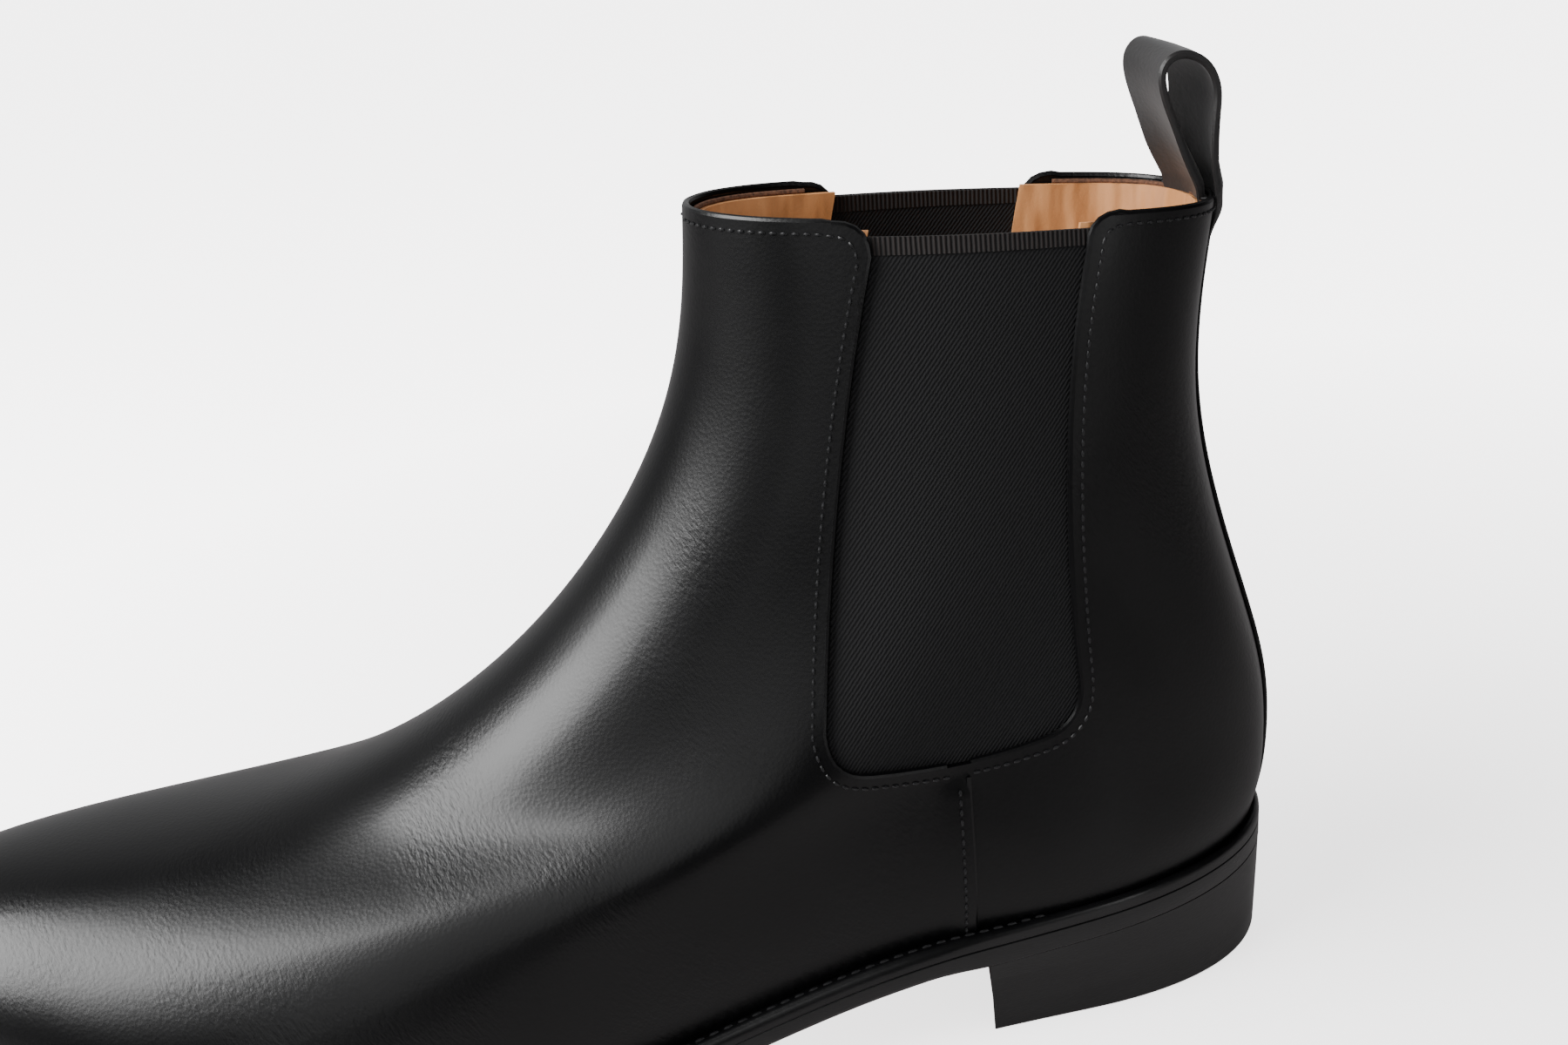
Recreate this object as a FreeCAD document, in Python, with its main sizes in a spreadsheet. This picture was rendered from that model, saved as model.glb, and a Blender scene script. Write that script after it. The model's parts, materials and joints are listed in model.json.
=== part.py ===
"""Chelsea boot: a left ankle boot with elastic side gores, Goodyear-type welted.

Frame: millimetres, +Z up, the toe towards -X, the lateral side towards -Y.  The origin is on
the ground below the middle of the boot.  The pieces are shaped in the last's own frame,
whose x is 0 at the rearmost point, and are then moved together onto the origin.
"""
import FreeCAD, Part
import Sketcher
import math
import os

Vector = FreeCAD.Vector

SIZES = [
    # name, value in millimetres (angles in degrees), what it sets
    ("last_length", 298.0, "upper from toe to heel at the feather line"),
    ("ball_width", 97.0, "upper across the ball at the feather line"),
    ("collar_height", 171.0, "ground to the collar at the instep"),
    ("collar_drop", 5.0, "how much lower the collar is at the back"),
    ("collar_length", 103.0, "shaft at the collar from front to back"),
    ("collar_width", 53.0, "shaft at the collar from side to side"),
    ("heel_height", 23.0, "ground to the underside of the outsole at the back"),
    ("heel_pitch", 3.0, "fall of the seat towards the breast, degrees"),
    ("heel_length", 72.0, "breast to the back, at the ground"),
    ("heel_taper", 2.0, "lean of the heel's wall at the back, degrees"),
    ("breast_taper", 11.0, "lean of the heel's walls at the breast, degrees"),
    ("breast_lean", 4.0, "lean of the breast itself, degrees"),
    ("breast_hollow", 4.0, "depth of the hollow in the heel's breast"),
    ("top_piece_thick", 6.0, "rubber top piece"),
    ("toe_spring", 11.0, "ground to the underside of the toe"),
    ("outsole_thick", 4.6, "leather outsole"),
    ("tread_press", 0.2, "outsole ground flat under the ball"),
    ("welt_thick", 3.2, "welt"),
    ("welt_reach", 5.5, "welt past the upper in the forepart"),
    ("waist_reach", 3.6, "welt past the upper in the waist"),
    ("seat_reach", 1.9, "welt past the upper round the seat"),
    ("margin_width", 8.0, "lasting margin turned in under the insole"),
    ("rib_thick", 1.2, "insole rib"),
    ("insole_thick", 2.6, "insole"),
    ("sock_thick", 1.0, "heel sock"),
    ("sock_length", 96.0, "heel sock from the back"),
    ("leather", 1.4, "outer leather"),
    ("webbing", 1.1, "elastic webbing, and the toe puff and heel counter in line with it"),
    ("lining", 1.0, "lining leather"),
    ("ply_gap", 0.05, "clearance between plies"),
    ("seam_gap", 0.1, "clearance between butted edges"),
    ("side_seam_x", 77.0, "side seam, ahead of the back"),
    ("gore_rear_x", 47.0, "rear edge of the gore at the collar, ahead of the back"),
    ("gore_top_width", 41.0, "webbing seen at the collar"),
    ("gore_bottom_width", 52.5, "webbing seen at its widest"),
    ("gore_forward", 10.0, "middle of the gore's foot, ahead of the middle of its top"),
    ("gore_foot", 63.5, "height of the gore's lower edge"),
    ("gore_corner", 9.0, "radius of the gore's lower corners"),
    ("gore_margin", 6.0, "webbing hidden under the leather"),
    ("gore_drop", 3.0, "webbing's top edge below the collar"),
    ("lining_drop", 1.5, "lining's top edge below the collar"),
    ("puff_length", 48.0, "toe puff from the toe"),
    ("counter_length", 50.0, "heel counter's wings from the back"),
    ("counter_height", 74.0, "heel counter's top above the ground"),
    ("strip_width", 11.0, "back strip across"),
    ("strip_thick", 1.1, "back strip"),
    ("loop_width", 23.0, "pull loop across"),
    ("loop_thick", 1.6, "pull loop's strap"),
    ("loop_height", 26.0, "pull loop above its root"),
    ("loop_eye_radius", 4.45, "inside radius at the loop's top"),
    ("loop_lean", 13.0, "pull loop's lean towards the toe, degrees"),
    ("loop_clear", 0.3, "pull loop's root above the collar"),
    ("tail_length", 18.0, "sewn-in end of the loop, inside the quarters"),
    ("shank_width", 14.0, "steel shank across"),
    ("shank_thick", 1.2, "steel shank"),
    ("shank_length", 92.0, "steel shank"),
    ("shank_rear_x", 52.0, "shank's rear end, ahead of the back"),
    ("nail_radius", 1.0, "heel nail"),
    ("nail_head_radius", 2.2, "heel nail's head"),
    ("nail_head_thick", 0.8, "heel nail's head"),
    ("nail_length", 24.0, "heel nail, head and all"),
    ("nail_inset", 15.0, "ring of heel nails inside the feather line"),
]

doc = FreeCAD.newDocument("chelsea_boot")
sheet = doc.addObject("Spreadsheet::Sheet", "sizes")
for row, (name, value, meaning) in enumerate(SIZES, start=1):
    sheet.set("A%d" % row, name)
    sheet.set("B%d" % row, str(value))
    sheet.set("C%d" % row, meaning)
    sheet.setAlias("B%d" % row, name)
doc.recompute()


def size(name):
    """A driving dimension, read from the sheet."""
    return float(sheet.get(name))


# ---------------------------------------------------------------- the last
# The sample last in millimetres.  Each ring runs round the upper, from the feather line
# (RING 0) to the collar (RING 1): where it meets the centre plane in front and at the back,
# and its mean half width at seven stations between, evenly turned from front to back.
SAMPLE_LENGTH = 298.0
SAMPLE_BALL = 97.0
SAMPLE_COLLAR = 53.0
RING = [0, 0.125, 0.25, 0.375, 0.5, 0.75, 1]
FRONT_X = [-297, -298, -291, -263, -210]
FRONT_Z = [19, 33, 46.5, 54.5, 59.5]
BACK_X = [-5, -3, -2.7, -5, -10, -19.3, -16]
BACK_Z = [33, 43, 57, 70.5, 86.5]
HALF_WIDTH = [
    [20, 38, 48, 37, 31, 31, 20.5],
    [21, 39, 49.5, 39.5, 33, 32, 21.5],
    [20, 36, 45.5, 40, 33, 30.5, 20.5],
    [16, 28.5, 38.5, 40, 33, 29.5, 20],
    [14, 25, 33.5, 38, 33, 28.5, 19],
    [12, 22.5, 29, 31.5, 29.5, 25, 15.5],
    [11.5, 20, 24.5, 26.5, 25.5, 22.5, 14.5],
]
# The shaft's rings: the ankle ring lies this share of the way up from ring 0.5 to the
# collar, and its front this far ahead of the collar's.
ANKLE_SHARE = 0.5
ANKLE_AHEAD = 16.0
# The foot's bend: how much fuller the medial side is than the mean, at the seven stations,
# and how this fades up the rings.
MEDIAL = [2, 3, 0, -5, -5, -2, 0]
MEDIAL_FADE = [1, 1, 0.9, 0.6, 0.3, 0, 0]
# How the bottom's rise and fall fades up the rings.
BOTTOM_FADE = [1, 0.97, 0.85, 0.6, 0.3, 0.04, 0]
# The flat of the tread, as shares of the last's length from the back.
TREAD_FRONT = 0.705
TREAD_BACK = 0.62
SEAT_AHEAD = 3.0  # the seat runs on straight this far in front of the breast
WAIST_FRONT, WAIST_BLEND = 130.0, 45.0  # where the forepart's reach starts, and over how far


def spline(knots, values):
    """The natural cubic spline through the values, as a function."""
    last = len(knots) - 1
    gap = [knots[i + 1] - knots[i] for i in range(last)]
    bend, carry, load = [0.0] * (last + 1), [0.0] * last, [0.0] * last
    for i in range(1, last):
        turn = (values[i + 1] - values[i]) / gap[i] - (values[i] - values[i - 1]) / gap[i - 1]
        pivot = 2 * (gap[i - 1] + gap[i]) - gap[i - 1] * carry[i - 1]
        carry[i] = gap[i] / pivot
        load[i] = (6 * turn - gap[i - 1] * load[i - 1]) / pivot
    for i in range(last - 1, 0, -1):
        bend[i] = load[i] - carry[i] * bend[i + 1]

    def at(x):
        i = 0
        while i < last - 1 and x > knots[i + 1]:
            i += 1
        before = (knots[i + 1] - x) / gap[i]
        after = 1 - before
        curved = (before**3 - before) * bend[i] + (after**3 - after) * bend[i + 1]
        return before * values[i] + after * values[i + 1] + curved * gap[i] ** 2 / 6

    return at


def ease(share):
    """A smooth step from 0 to 1."""
    share = min(1.0, max(0.0, share))
    return share * share * (3 - 2 * share)


def graded_lines():
    """The front and back lines of the last, graded to the driving sizes."""
    grade = size("last_length") / SAMPLE_LENGTH
    collar_front = BACK_X[-1] - size("collar_length")
    collar_back = size("collar_height") - size("collar_drop")
    ankle_front = FRONT_Z[-1] + ANKLE_SHARE * (size("collar_height") - FRONT_Z[-1])
    ankle_back = BACK_Z[-1] + ANKLE_SHARE * (collar_back - BACK_Z[-1])
    front_x = [x * grade for x in FRONT_X] + [collar_front - ANKLE_AHEAD, collar_front]
    front_z = FRONT_Z + [ankle_front, size("collar_height")]
    back_z = BACK_Z + [ankle_back, collar_back]
    return front_x, front_z, BACK_X, back_z


def graded_widths():
    """The half widths, graded from the ball's factor at the bottom to the collar's."""
    ball = size("ball_width") / SAMPLE_BALL
    collar = size("collar_width") / SAMPLE_COLLAR
    rows = []
    for up, row in zip(RING, HALF_WIDTH):
        factor = ball + (collar - ball) * ease(up)
        rows.append([factor * width for width in row])
    return rows


LINES = graded_lines()
LINE_SPLINES = [spline(RING, line) for line in LINES]
WIDTH_SPLINES = [spline(RING, column) for column in zip(*graded_widths())]
MEDIAL_FADES = spline(RING, MEDIAL_FADE)
BOTTOM_FADES = spline(RING, BOTTOM_FADE)
STATIONS = [math.pi * i / 8 for i in range(9)]
WELT_TOP = size("outsole_thick") + size("welt_thick")
INSOLE_BOTTOM = WELT_TOP + size("leather") + size("ply_gap")
INSOLE_TOP = INSOLE_BOTTOM + size("insole_thick")
# Depths of the plies under the outer face.
MIDDLE_DEPTH = size("leather") + size("ply_gap")
LINING_DEPTH = MIDDLE_DEPTH + size("webbing") + size("ply_gap")
INSIDE_DEPTH = LINING_DEPTH + size("lining")


def underside(x):
    """Height of the outsole's underside: toe spring, flat tread, rising waist, sloped seat."""
    length = size("last_length")
    tread_front = -TREAD_FRONT * length
    tread_back = -TREAD_BACK * length
    seat_front = -size("heel_length") - SEAT_AHEAD
    if x < tread_front:
        return size("toe_spring") * ((tread_front - x) / (tread_front + length)) ** 2
    seat = size("heel_height") + math.tan(math.radians(size("heel_pitch"))) * x
    return seat * ease((x - tread_back) / (seat_front - tread_back))


ring_cache = {}


def ring_at(up):
    """One ring of the last: the ends of its chord and its two half-width curves."""
    if up not in ring_cache:
        mean = [line(up) for line in WIDTH_SPLINES]
        bend = [MEDIAL_FADES(up) * amount for amount in MEDIAL]
        medial = spline(STATIONS, [0] + [w + b for w, b in zip(mean, bend)] + [0])
        lateral = spline(STATIONS, [0] + [w - b for w, b in zip(mean, bend)] + [0])
        ring_cache[up] = [line(up) for line in LINE_SPLINES] + [lateral, medial]
    return ring_cache[up]


def last_point(up, turn):
    """A point of the upper's outer face.  `up` runs from the feather line (0) to the collar
    (1); `turn` runs from the front (0) along the lateral side to the back (pi) and on."""
    front_x, front_z, back_x, back_z, lateral, medial = ring_at(up)
    turn = turn % (2 * math.pi)
    share = (1 - math.cos(turn)) / 2
    bottom_x = LINES[0][0] + (LINES[2][0] - LINES[0][0]) * share
    bottom_z = LINES[1][0] + (LINES[3][0] - LINES[1][0]) * share
    camber = underside(bottom_x) + WELT_TOP - bottom_z
    x = front_x + (back_x - front_x) * share
    z = front_z + (back_z - front_z) * share + BOTTOM_FADES(up) * camber
    y = -lateral(turn) if turn <= math.pi else medial(2 * math.pi - turn)
    return Vector(x, y, z)


def outward(up, turn):
    """The outer face's unit normal."""
    step = 0.004
    along = last_point(up, turn + step) - last_point(up, turn - step)
    upward = last_point(up + step, turn) - last_point(up - step, turn)
    normal = along.cross(upward)
    normal.normalize()
    return normal


# ---------------------------------------------------------------- plies of the upper
BELOW = -0.03  # plies start this far below the feather line and are then trimmed to it
SEAM_TURN = 0.002  # a ply's ends stop this short of the back's centre plane


def ply(depth, thick, low=BELOW, high=1.0, start=-math.pi + SEAM_TURN, end=math.pi - SEAM_TURN):
    """A curved ply of the upper, `depth` under its outer face."""
    rows, columns = 46, 14
    grids = [[], []]
    for i in range(rows + 1):
        turn = start + (end - start) * i / rows
        lines = [[], []]
        for j in range(columns + 1):
            up = low + (high - low) * j / columns
            point, normal = last_point(up, turn), outward(up, turn)
            lines[0].append(point - normal * depth)
            lines[1].append(point - normal * (depth + thick))
        grids[0].append(lines[0])
        grids[1].append(lines[1])
    return between(*grids)


def between(outer_grid, inner_grid):
    """The solid between two smooth surfaces through matching grids of points."""
    outer, inner = Part.BSplineSurface(), Part.BSplineSurface()
    outer.interpolate(outer_grid)
    inner.interpolate(inner_grid)
    faces = [outer.toShape(), inner.toShape()]
    sides = []
    for surface in (outer, inner):
        u0, u1, v0, v1 = surface.bounds()
        sides.append([surface.uIso(u0), surface.uIso(u1), surface.vIso(v0), surface.vIso(v1)])
    for one, other in zip(*sides):
        faces.append(Part.makeRuledSurface(one.toShape(), other.toShape()))
    shell = Part.Shell(faces)
    shell.sewShape()
    solid = Part.Solid(shell)
    if solid.Volume < 0:
        solid.reverse()
    return solid


def up_at_drop(drop):
    """The ring that lies a given distance below the collar."""
    side = math.pi / 2
    return 1 - 0.25 * drop / last_point(1, side).distanceToPoint(last_point(0.75, side))


# ---------------------------------------------------------------- tools in plan and profile
FAR = 400.0
OUTLINE_POINTS = 48
PROFILE_POINTS = 48


def reach_at(x):
    """How far the welt stands out past the feather line."""
    waist = size("waist_reach")
    fore = (size("welt_reach") - waist) * ease((-x - WAIST_FRONT) / WAIST_BLEND)
    seat = (size("seat_reach") - waist) * ease((size("heel_length") + x) / WAIST_BLEND + 0.5)
    return waist + fore + seat


def rim_point(turn, reach, height=0.0):
    """A point of the feather line in plan, moved out by a distance or a function of x."""
    here = last_point(0.0, turn)
    along = last_point(0.0, turn + 0.01) - last_point(0.0, turn - 0.01)
    out = Vector(along.y, -along.x, 0)
    out.normalize()
    distance = reach(here.x) if callable(reach) else reach
    return Vector(here.x, here.y, height) + out * distance


def outline(reach, height=0.0):
    """The whole feather line in plan, moved out, as a wire."""
    turns = [2 * math.pi * i / OUTLINE_POINTS for i in range(OUTLINE_POINTS)]
    curve = Part.BSplineCurve()
    curve.interpolate([rim_point(turn, reach, height) for turn in turns], PeriodicFlag=True)
    return Part.Wire(curve.toShape())


def column(reach):
    """The upright prism over an outline."""
    return Part.Face(outline(reach, -FAR / 4)).extrude(Vector(0, 0, FAR))


def profile(height):
    """The underside's profile moved up, as a curve in the centre plane."""
    front, back = -size("last_length") - 20, 20.0
    xs = [front + (back - front) * i / PROFILE_POINTS for i in range(PROFILE_POINTS + 1)]
    curve = Part.BSplineCurve()
    curve.interpolate([Vector(x, -FAR / 4, underside(x) + height) for x in xs])
    return curve.toShape()


def layer(low, high):
    """The slab between two heights above the outsole's underside."""
    face = Part.makeRuledSurface(profile(low), profile(high))
    return face.extrude(Vector(0, FAR / 2, 0))


def band(outer_reach, inner_reach, low, high):
    """A rim of the bottom: between two outlines and two heights."""
    return layer(low, high).common(column(outer_reach)).cut(column(inner_reach))


def slab(x_low, x_high, y_low=-FAR / 4, y_high=FAR / 4, z_low=-FAR / 4, z_high=FAR):
    """An axis-aligned box between the given faces."""
    corner = Vector(x_low, y_low, z_low)
    return Part.makeBox(x_high - x_low, y_high - y_low, z_high - z_low, corner)


SIDE_SEAM = -size("side_seam_x")
HALF_SEAM = size("seam_gap") / 2
GORE_BOW_FRONT, GORE_BOW_REAR = 1.0, 3.0  # how far the gore's long edges bow forward
GORE_SAG = 4.0  # how far the gore's foot sags between its corners
GORE_SHOULDER = 2.0  # height of the foot's straight corners, in corner radii


def gore_prism(margin=0.0):
    """The gore's window, grown by a margin, as a prism across the boot."""
    collar = size("collar_height")
    rear = -size("gore_rear_x") + margin
    front = -size("gore_rear_x") - size("gore_top_width") - margin
    middle = (rear + front) / 2
    half_low = size("gore_bottom_width") / 2 + margin
    low_front = middle - size("gore_forward") - half_low
    low_rear = middle - size("gore_forward") + half_low
    foot = size("gore_foot") - margin
    corner = size("gore_corner") + margin
    shoulder = foot + GORE_SHOULDER * corner
    half_way = (shoulder + collar) / 2
    front_bow = Vector((front + low_front) / 2 - GORE_BOW_FRONT, 0, half_way)
    rear_bow = Vector((rear + low_rear) / 2 - GORE_BOW_REAR, 0, half_way)
    top_front, top_rear = Vector(front, 0, collar), Vector(rear, 0, collar)
    front_shoulder, rear_shoulder = Vector(low_front, 0, shoulder), Vector(low_rear, 0, shoulder)
    front_foot = Vector(low_front, 0, foot + GORE_SAG)
    rear_foot = Vector(low_rear, 0, foot + GORE_SAG)
    above = Vector(0, 0, FAR / 4)
    curves = [
        Part.Arc(top_front, front_bow, front_shoulder),
        Part.LineSegment(front_shoulder, front_foot),
        Part.Arc(front_foot, Vector((low_front + low_rear) / 2, 0, foot), rear_foot),
        Part.LineSegment(rear_foot, rear_shoulder),
        Part.Arc(rear_shoulder, rear_bow, top_rear),
        Part.LineSegment(top_rear, top_rear + above),
        Part.LineSegment(top_rear + above, top_front + above),
        Part.LineSegment(top_front + above, top_front),
    ]
    wire = Part.Wire([curve.toShape() for curve in curves])
    wire.translate(Vector(0, -FAR / 4, 0))
    prism = Part.Face(wire).extrude(Vector(0, FAR / 2, 0))
    corners = [edge for edge in prism.Edges if is_across(edge, (front_foot, rear_foot))]
    return prism.makeFillet(corner, corners)


def is_across(edge, spots):
    """Whether an edge runs across the boot through one of the spots."""
    one, other = edge.Vertexes[0].Point, edge.Vertexes[-1].Point
    near = min(abs(one.x - spot.x) + abs(one.z - spot.z) for spot in spots)
    return abs(one.y - other.y) > 1 and near < 1e-3


# ---------------------------------------------------------------- nodes
nodes = []


def add(name, shape):
    """Puts a finished shape in the document as one sub-part."""
    solids = [solid for solid in shape.Solids if solid.Volume > 0.5]
    piece = doc.addObject("Part::Feature", name)
    piece.Label = name
    piece.Shape = solids[0] if len(solids) == 1 else Part.Compound(solids)
    nodes.append(piece)
    return piece


def halves(shape):
    """The lateral and the medial half of a shape that is parted at the centre plane."""
    lateral = [solid for solid in shape.Solids if solid.CenterOfMass.y < 0]
    medial = [solid for solid in shape.Solids if solid.CenterOfMass.y > 0]
    return Part.Compound(lateral), Part.Compound(medial)


def make_outer_leather():
    """Vamp and quarters: one ply with its lasting margin, opened for the gores."""
    thick = size("leather")
    wall = ply(0.0, thick).cut(layer(-60.0, WELT_TOP))
    turned_in = band(-thick / 2, -size("margin_width"), WELT_TOP, INSOLE_BOTTOM - size("ply_gap"))
    turned_in = turned_in.cut(slab(-40, 40, -HALF_SEAM, HALF_SEAM))
    whole = wall.fuse(turned_in)
    window = gore_prism()
    vamp = whole.common(slab(-FAR, SIDE_SEAM - HALF_SEAM))
    add("vamp", vamp.cut(window))
    lateral, medial = halves(whole.common(slab(SIDE_SEAM + HALF_SEAM, FAR)))
    add("quarter_lateral", lateral.cut(window))
    add("quarter_medial", medial.cut(window))


def make_gores():
    """Elastic webbing behind each window, its margins under the leather."""
    sheet_ply = ply(MIDDLE_DEPTH, size("webbing"), low=0.15, high=up_at_drop(size("gore_drop")))
    lateral, medial = halves(sheet_ply.common(gore_prism(size("gore_margin"))))
    add("gore_lateral", lateral)
    add("gore_medial", medial)


def make_stiffeners():
    """Toe puff and heel counter, sealed between the leather and the lining."""
    floor = layer(-60.0, INSOLE_BOTTOM)
    middle = ply(MIDDLE_DEPTH, size("webbing"), high=0.55).cut(floor)
    toe_end = -size("last_length") + size("puff_length")
    add("toe_puff", middle.common(slab(-FAR, toe_end)))
    wings = slab(-size("counter_length"), FAR, z_high=size("counter_height"))
    clear = gore_prism(size("gore_margin") + size("seam_gap"))
    back = joined_back(MIDDLE_DEPTH, size("webbing"))
    add("heel_counter", back.cut(floor).common(wings).cut(clear))


def joined_back(depth, thick, high=0.6, spread=1.5):
    """A ply that runs round the back in one piece."""
    return ply(depth, thick, high=high, start=math.pi - spread, end=math.pi + spread)


def make_lining():
    """Vamp lining and quarter linings, open behind the gores."""
    top = up_at_drop(size("lining_drop"))
    inner = ply(LINING_DEPTH, size("lining"), high=top).cut(layer(-60.0, INSOLE_BOTTOM))
    inner = inner.cut(gore_prism(-1.0))
    add("vamp_lining", inner.common(slab(-FAR, SIDE_SEAM - HALF_SEAM)))
    lateral, medial = halves(inner.common(slab(SIDE_SEAM + HALF_SEAM, FAR)))
    add("quarter_lining_lateral", lateral)
    add("quarter_lining_medial", medial)


def make_back_strip():
    """The strip that covers the back seam from the seat to the collar."""
    raised = -size("strip_thick") - size("ply_gap")
    strip = joined_back(raised, size("strip_thick"), high=1.0, spread=0.9)
    half = size("strip_width") / 2
    strip = strip.common(slab(-60, 40, -half, half))
    add("back_strip", strip.cut(layer(-60.0, WELT_TOP + size("ply_gap"))))


def make_loop_tail():
    """The pull loop's sewn-in end, between the quarters and their lining."""
    low = up_at_drop(size("tail_length"))
    tail = ply(MIDDLE_DEPTH, size("webbing"), low=low, start=math.pi - 1.2, end=math.pi + 1.2)
    half = size("loop_width") / 2
    add("loop_tail", tail.common(slab(-60, 40, -half, half)))


def make_pull_loop():
    """The loop of strap above the collar, turning about its root."""
    body = doc.addObject("PartDesign::Body", "pull_loop")
    body.Label = "pull_loop"
    plane = [p for p in body.Origin.OriginFeatures if p.Role == "XZ_Plane"][0]
    sketch = body.newObject("Sketcher::SketchObject", "loop_profile")
    sketch.AttachmentSupport = [(plane, "")]
    sketch.MapMode = "FlatFace"
    eye, thick = size("loop_eye_radius"), size("loop_thick")
    centre = size("loop_height") - thick - eye
    lean_in = math.asin(eye / centre)
    up_axis = Vector(0, 0, 1)
    middle = Vector(0, centre, 0)
    for radius in (eye + thick, eye):
        arc = Part.ArcOfCircle(Part.Circle(middle, up_axis, radius), -lean_in, math.pi + lean_in)
        sketch.addGeometry(arc, False)
    root_arc = Part.Circle(Vector(0, 0, 0), up_axis, thick)
    sketch.addGeometry(Part.ArcOfCircle(root_arc, math.pi + lean_in, 2 * math.pi - lean_in), False)
    for side in (-1, 1):
        out = Vector(side * math.cos(lean_in), -math.sin(lean_in), 0)
        outside = Part.LineSegment(out * thick, middle + out * (eye + thick))
        inside = Part.LineSegment(Vector(0, 0, 0), middle + out * eye)
        sketch.addGeometry(outside, False)
        sketch.addGeometry(inside, False)
    outer_arc, eye_arc, root, left_out, left_in, right_out, right_in = range(7)
    rules = [
        Sketcher.Constraint("Coincident", root, 3, -1, 1),
        Sketcher.Constraint("Coincident", eye_arc, 3, outer_arc, 3),
        Sketcher.Constraint("PointOnObject", outer_arc, 3, -2),
        Sketcher.Constraint("Tangent", outer_arc, 2, left_out, 2),
        Sketcher.Constraint("Tangent", outer_arc, 1, right_out, 2),
        Sketcher.Constraint("Tangent", root, 1, left_out, 1),
        Sketcher.Constraint("Tangent", root, 2, right_out, 1),
        Sketcher.Constraint("Tangent", eye_arc, 2, left_in, 2),
        Sketcher.Constraint("Tangent", eye_arc, 1, right_in, 2),
        Sketcher.Constraint("Coincident", left_in, 1, -1, 1),
        Sketcher.Constraint("Coincident", right_in, 1, -1, 1),
    ]
    sketch.addConstraint(rules)
    bound = [
        ("Radius", (outer_arc, eye + thick), "sizes.loop_eye_radius + sizes.loop_thick"),
        ("Radius", (eye_arc, eye), "sizes.loop_eye_radius"),
        ("Radius", (root, thick), "sizes.loop_thick"),
        ("DistanceY", (-1, 1, outer_arc, 3, centre),
         "sizes.loop_height - sizes.loop_eye_radius - sizes.loop_thick"),
    ]
    for kind, values, formula in bound:
        index = sketch.addConstraint(Sketcher.Constraint(kind, *values))
        sketch.setExpression("Constraints[%d]" % index, formula)
    pad = body.newObject("PartDesign::Pad", "loop_pad")
    pad.Profile = sketch
    pad.SideType = "Symmetric"
    pad.setExpression("Length", "sizes.loop_width")
    body.Tip = pad
    collar_back = last_point(1.0, math.pi)
    depth = outward(1.0, math.pi) * (MIDDLE_DEPTH + size("webbing") / 2)
    lift = Vector(0, 0, size("loop_thick") + size("loop_clear"))
    turned = FreeCAD.Rotation(Vector(0, 1, 0), -size("loop_lean"))
    body.Placement = FreeCAD.Placement(collar_back - depth + lift, turned)
    nodes.append(body)


NAIL_COUNT = 7
NAIL_SPREAD = 0.85  # how far the horseshoe of nails turns either side of the back, radians
NAIL_SUNK = 0.3  # heads below the insole's top


def nail_spots():
    """Where the heel nails go: a horseshoe inside the seat."""
    steps = [2 * i / (NAIL_COUNT - 1) - 1 for i in range(NAIL_COUNT)]
    return [rim_point(math.pi + NAIL_SPREAD * step, -size("nail_inset")) for step in steps]


def nails():
    """The heel nails as one compound of separate solids, driven down from the insole."""
    down = Vector(0, 0, -1)
    solids = []
    for spot in nail_spots():
        start = Vector(spot.x, spot.y, underside(spot.x) + INSOLE_TOP - NAIL_SUNK)
        shaft = Part.makeCylinder(size("nail_radius"), size("nail_length"), start, down)
        head = Part.makeCylinder(size("nail_head_radius"), size("nail_head_thick"), start, down)
        solids.append(shaft.fuse(head).removeSplitter())
    return Part.Compound(solids)


def nail_wells():
    """The nails with the air above their heads, to cut from what they pass through."""
    up = Vector(0, 0, 1)
    tools = list(nails().Solids)
    for spot in nail_spots():
        start = Vector(spot.x, spot.y, underside(spot.x) + INSOLE_TOP - NAIL_SUNK)
        tools.append(Part.makeCylinder(size("nail_head_radius"), 2 * NAIL_SUNK + 1, start, up))
    return Part.Compound(tools)


BLOCK_ABOVE = 8.0  # the heel block is made this much too tall, then trimmed to the outsole
BREAST_MOUTH = 0.35  # half width of the breast's hollow, as a share of the ball's width


def breast_wire(level, lean):
    """Everything behind the breast at one level, as a closed wire."""
    breast = -size("heel_length") - lean * level
    side, mouth = size("ball_width"), BREAST_MOUTH * size("ball_width")
    hollow = Part.Arc(
        Vector(breast, -mouth, level),
        Vector(breast + size("breast_hollow"), 0, level),
        Vector(breast, mouth, level),
    )
    corners = [
        Vector(breast, mouth, level),
        Vector(breast, side, level),
        Vector(FAR, side, level),
        Vector(FAR, -side, level),
        Vector(breast, -side, level),
        Vector(breast, -mouth, level),
    ]
    lines = [Part.LineSegment(a, b).toShape() for a, b in zip(corners, corners[1:])]
    return Part.Wire([hollow.toShape()] + lines)


def heel_reach(level):
    """The heel's outline at one level, as a reach past the feather line at each x."""

    def reach(x):
        share = ease(-x / size("heel_length"))
        taper = size("heel_taper") + (size("breast_taper") - size("heel_taper")) * share
        return reach_at(x) - math.tan(math.radians(taper)) * (size("heel_height") - level)

    return reach


def heel_block():
    """The whole heel as one tapered block with a hollow breast, up to the outsole."""
    levels = (0.0, size("heel_height") + BLOCK_ABOVE)
    lean = math.tan(math.radians(size("breast_lean")))
    rims = [outline(heel_reach(level), level) for level in levels]
    behind = Part.makeLoft([breast_wire(level, lean) for level in levels], True, True)
    above = layer(-size("tread_press"), FAR / 4)
    return Part.makeLoft(rims, True, True).common(behind).cut(above)


LIFTS = 3


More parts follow.
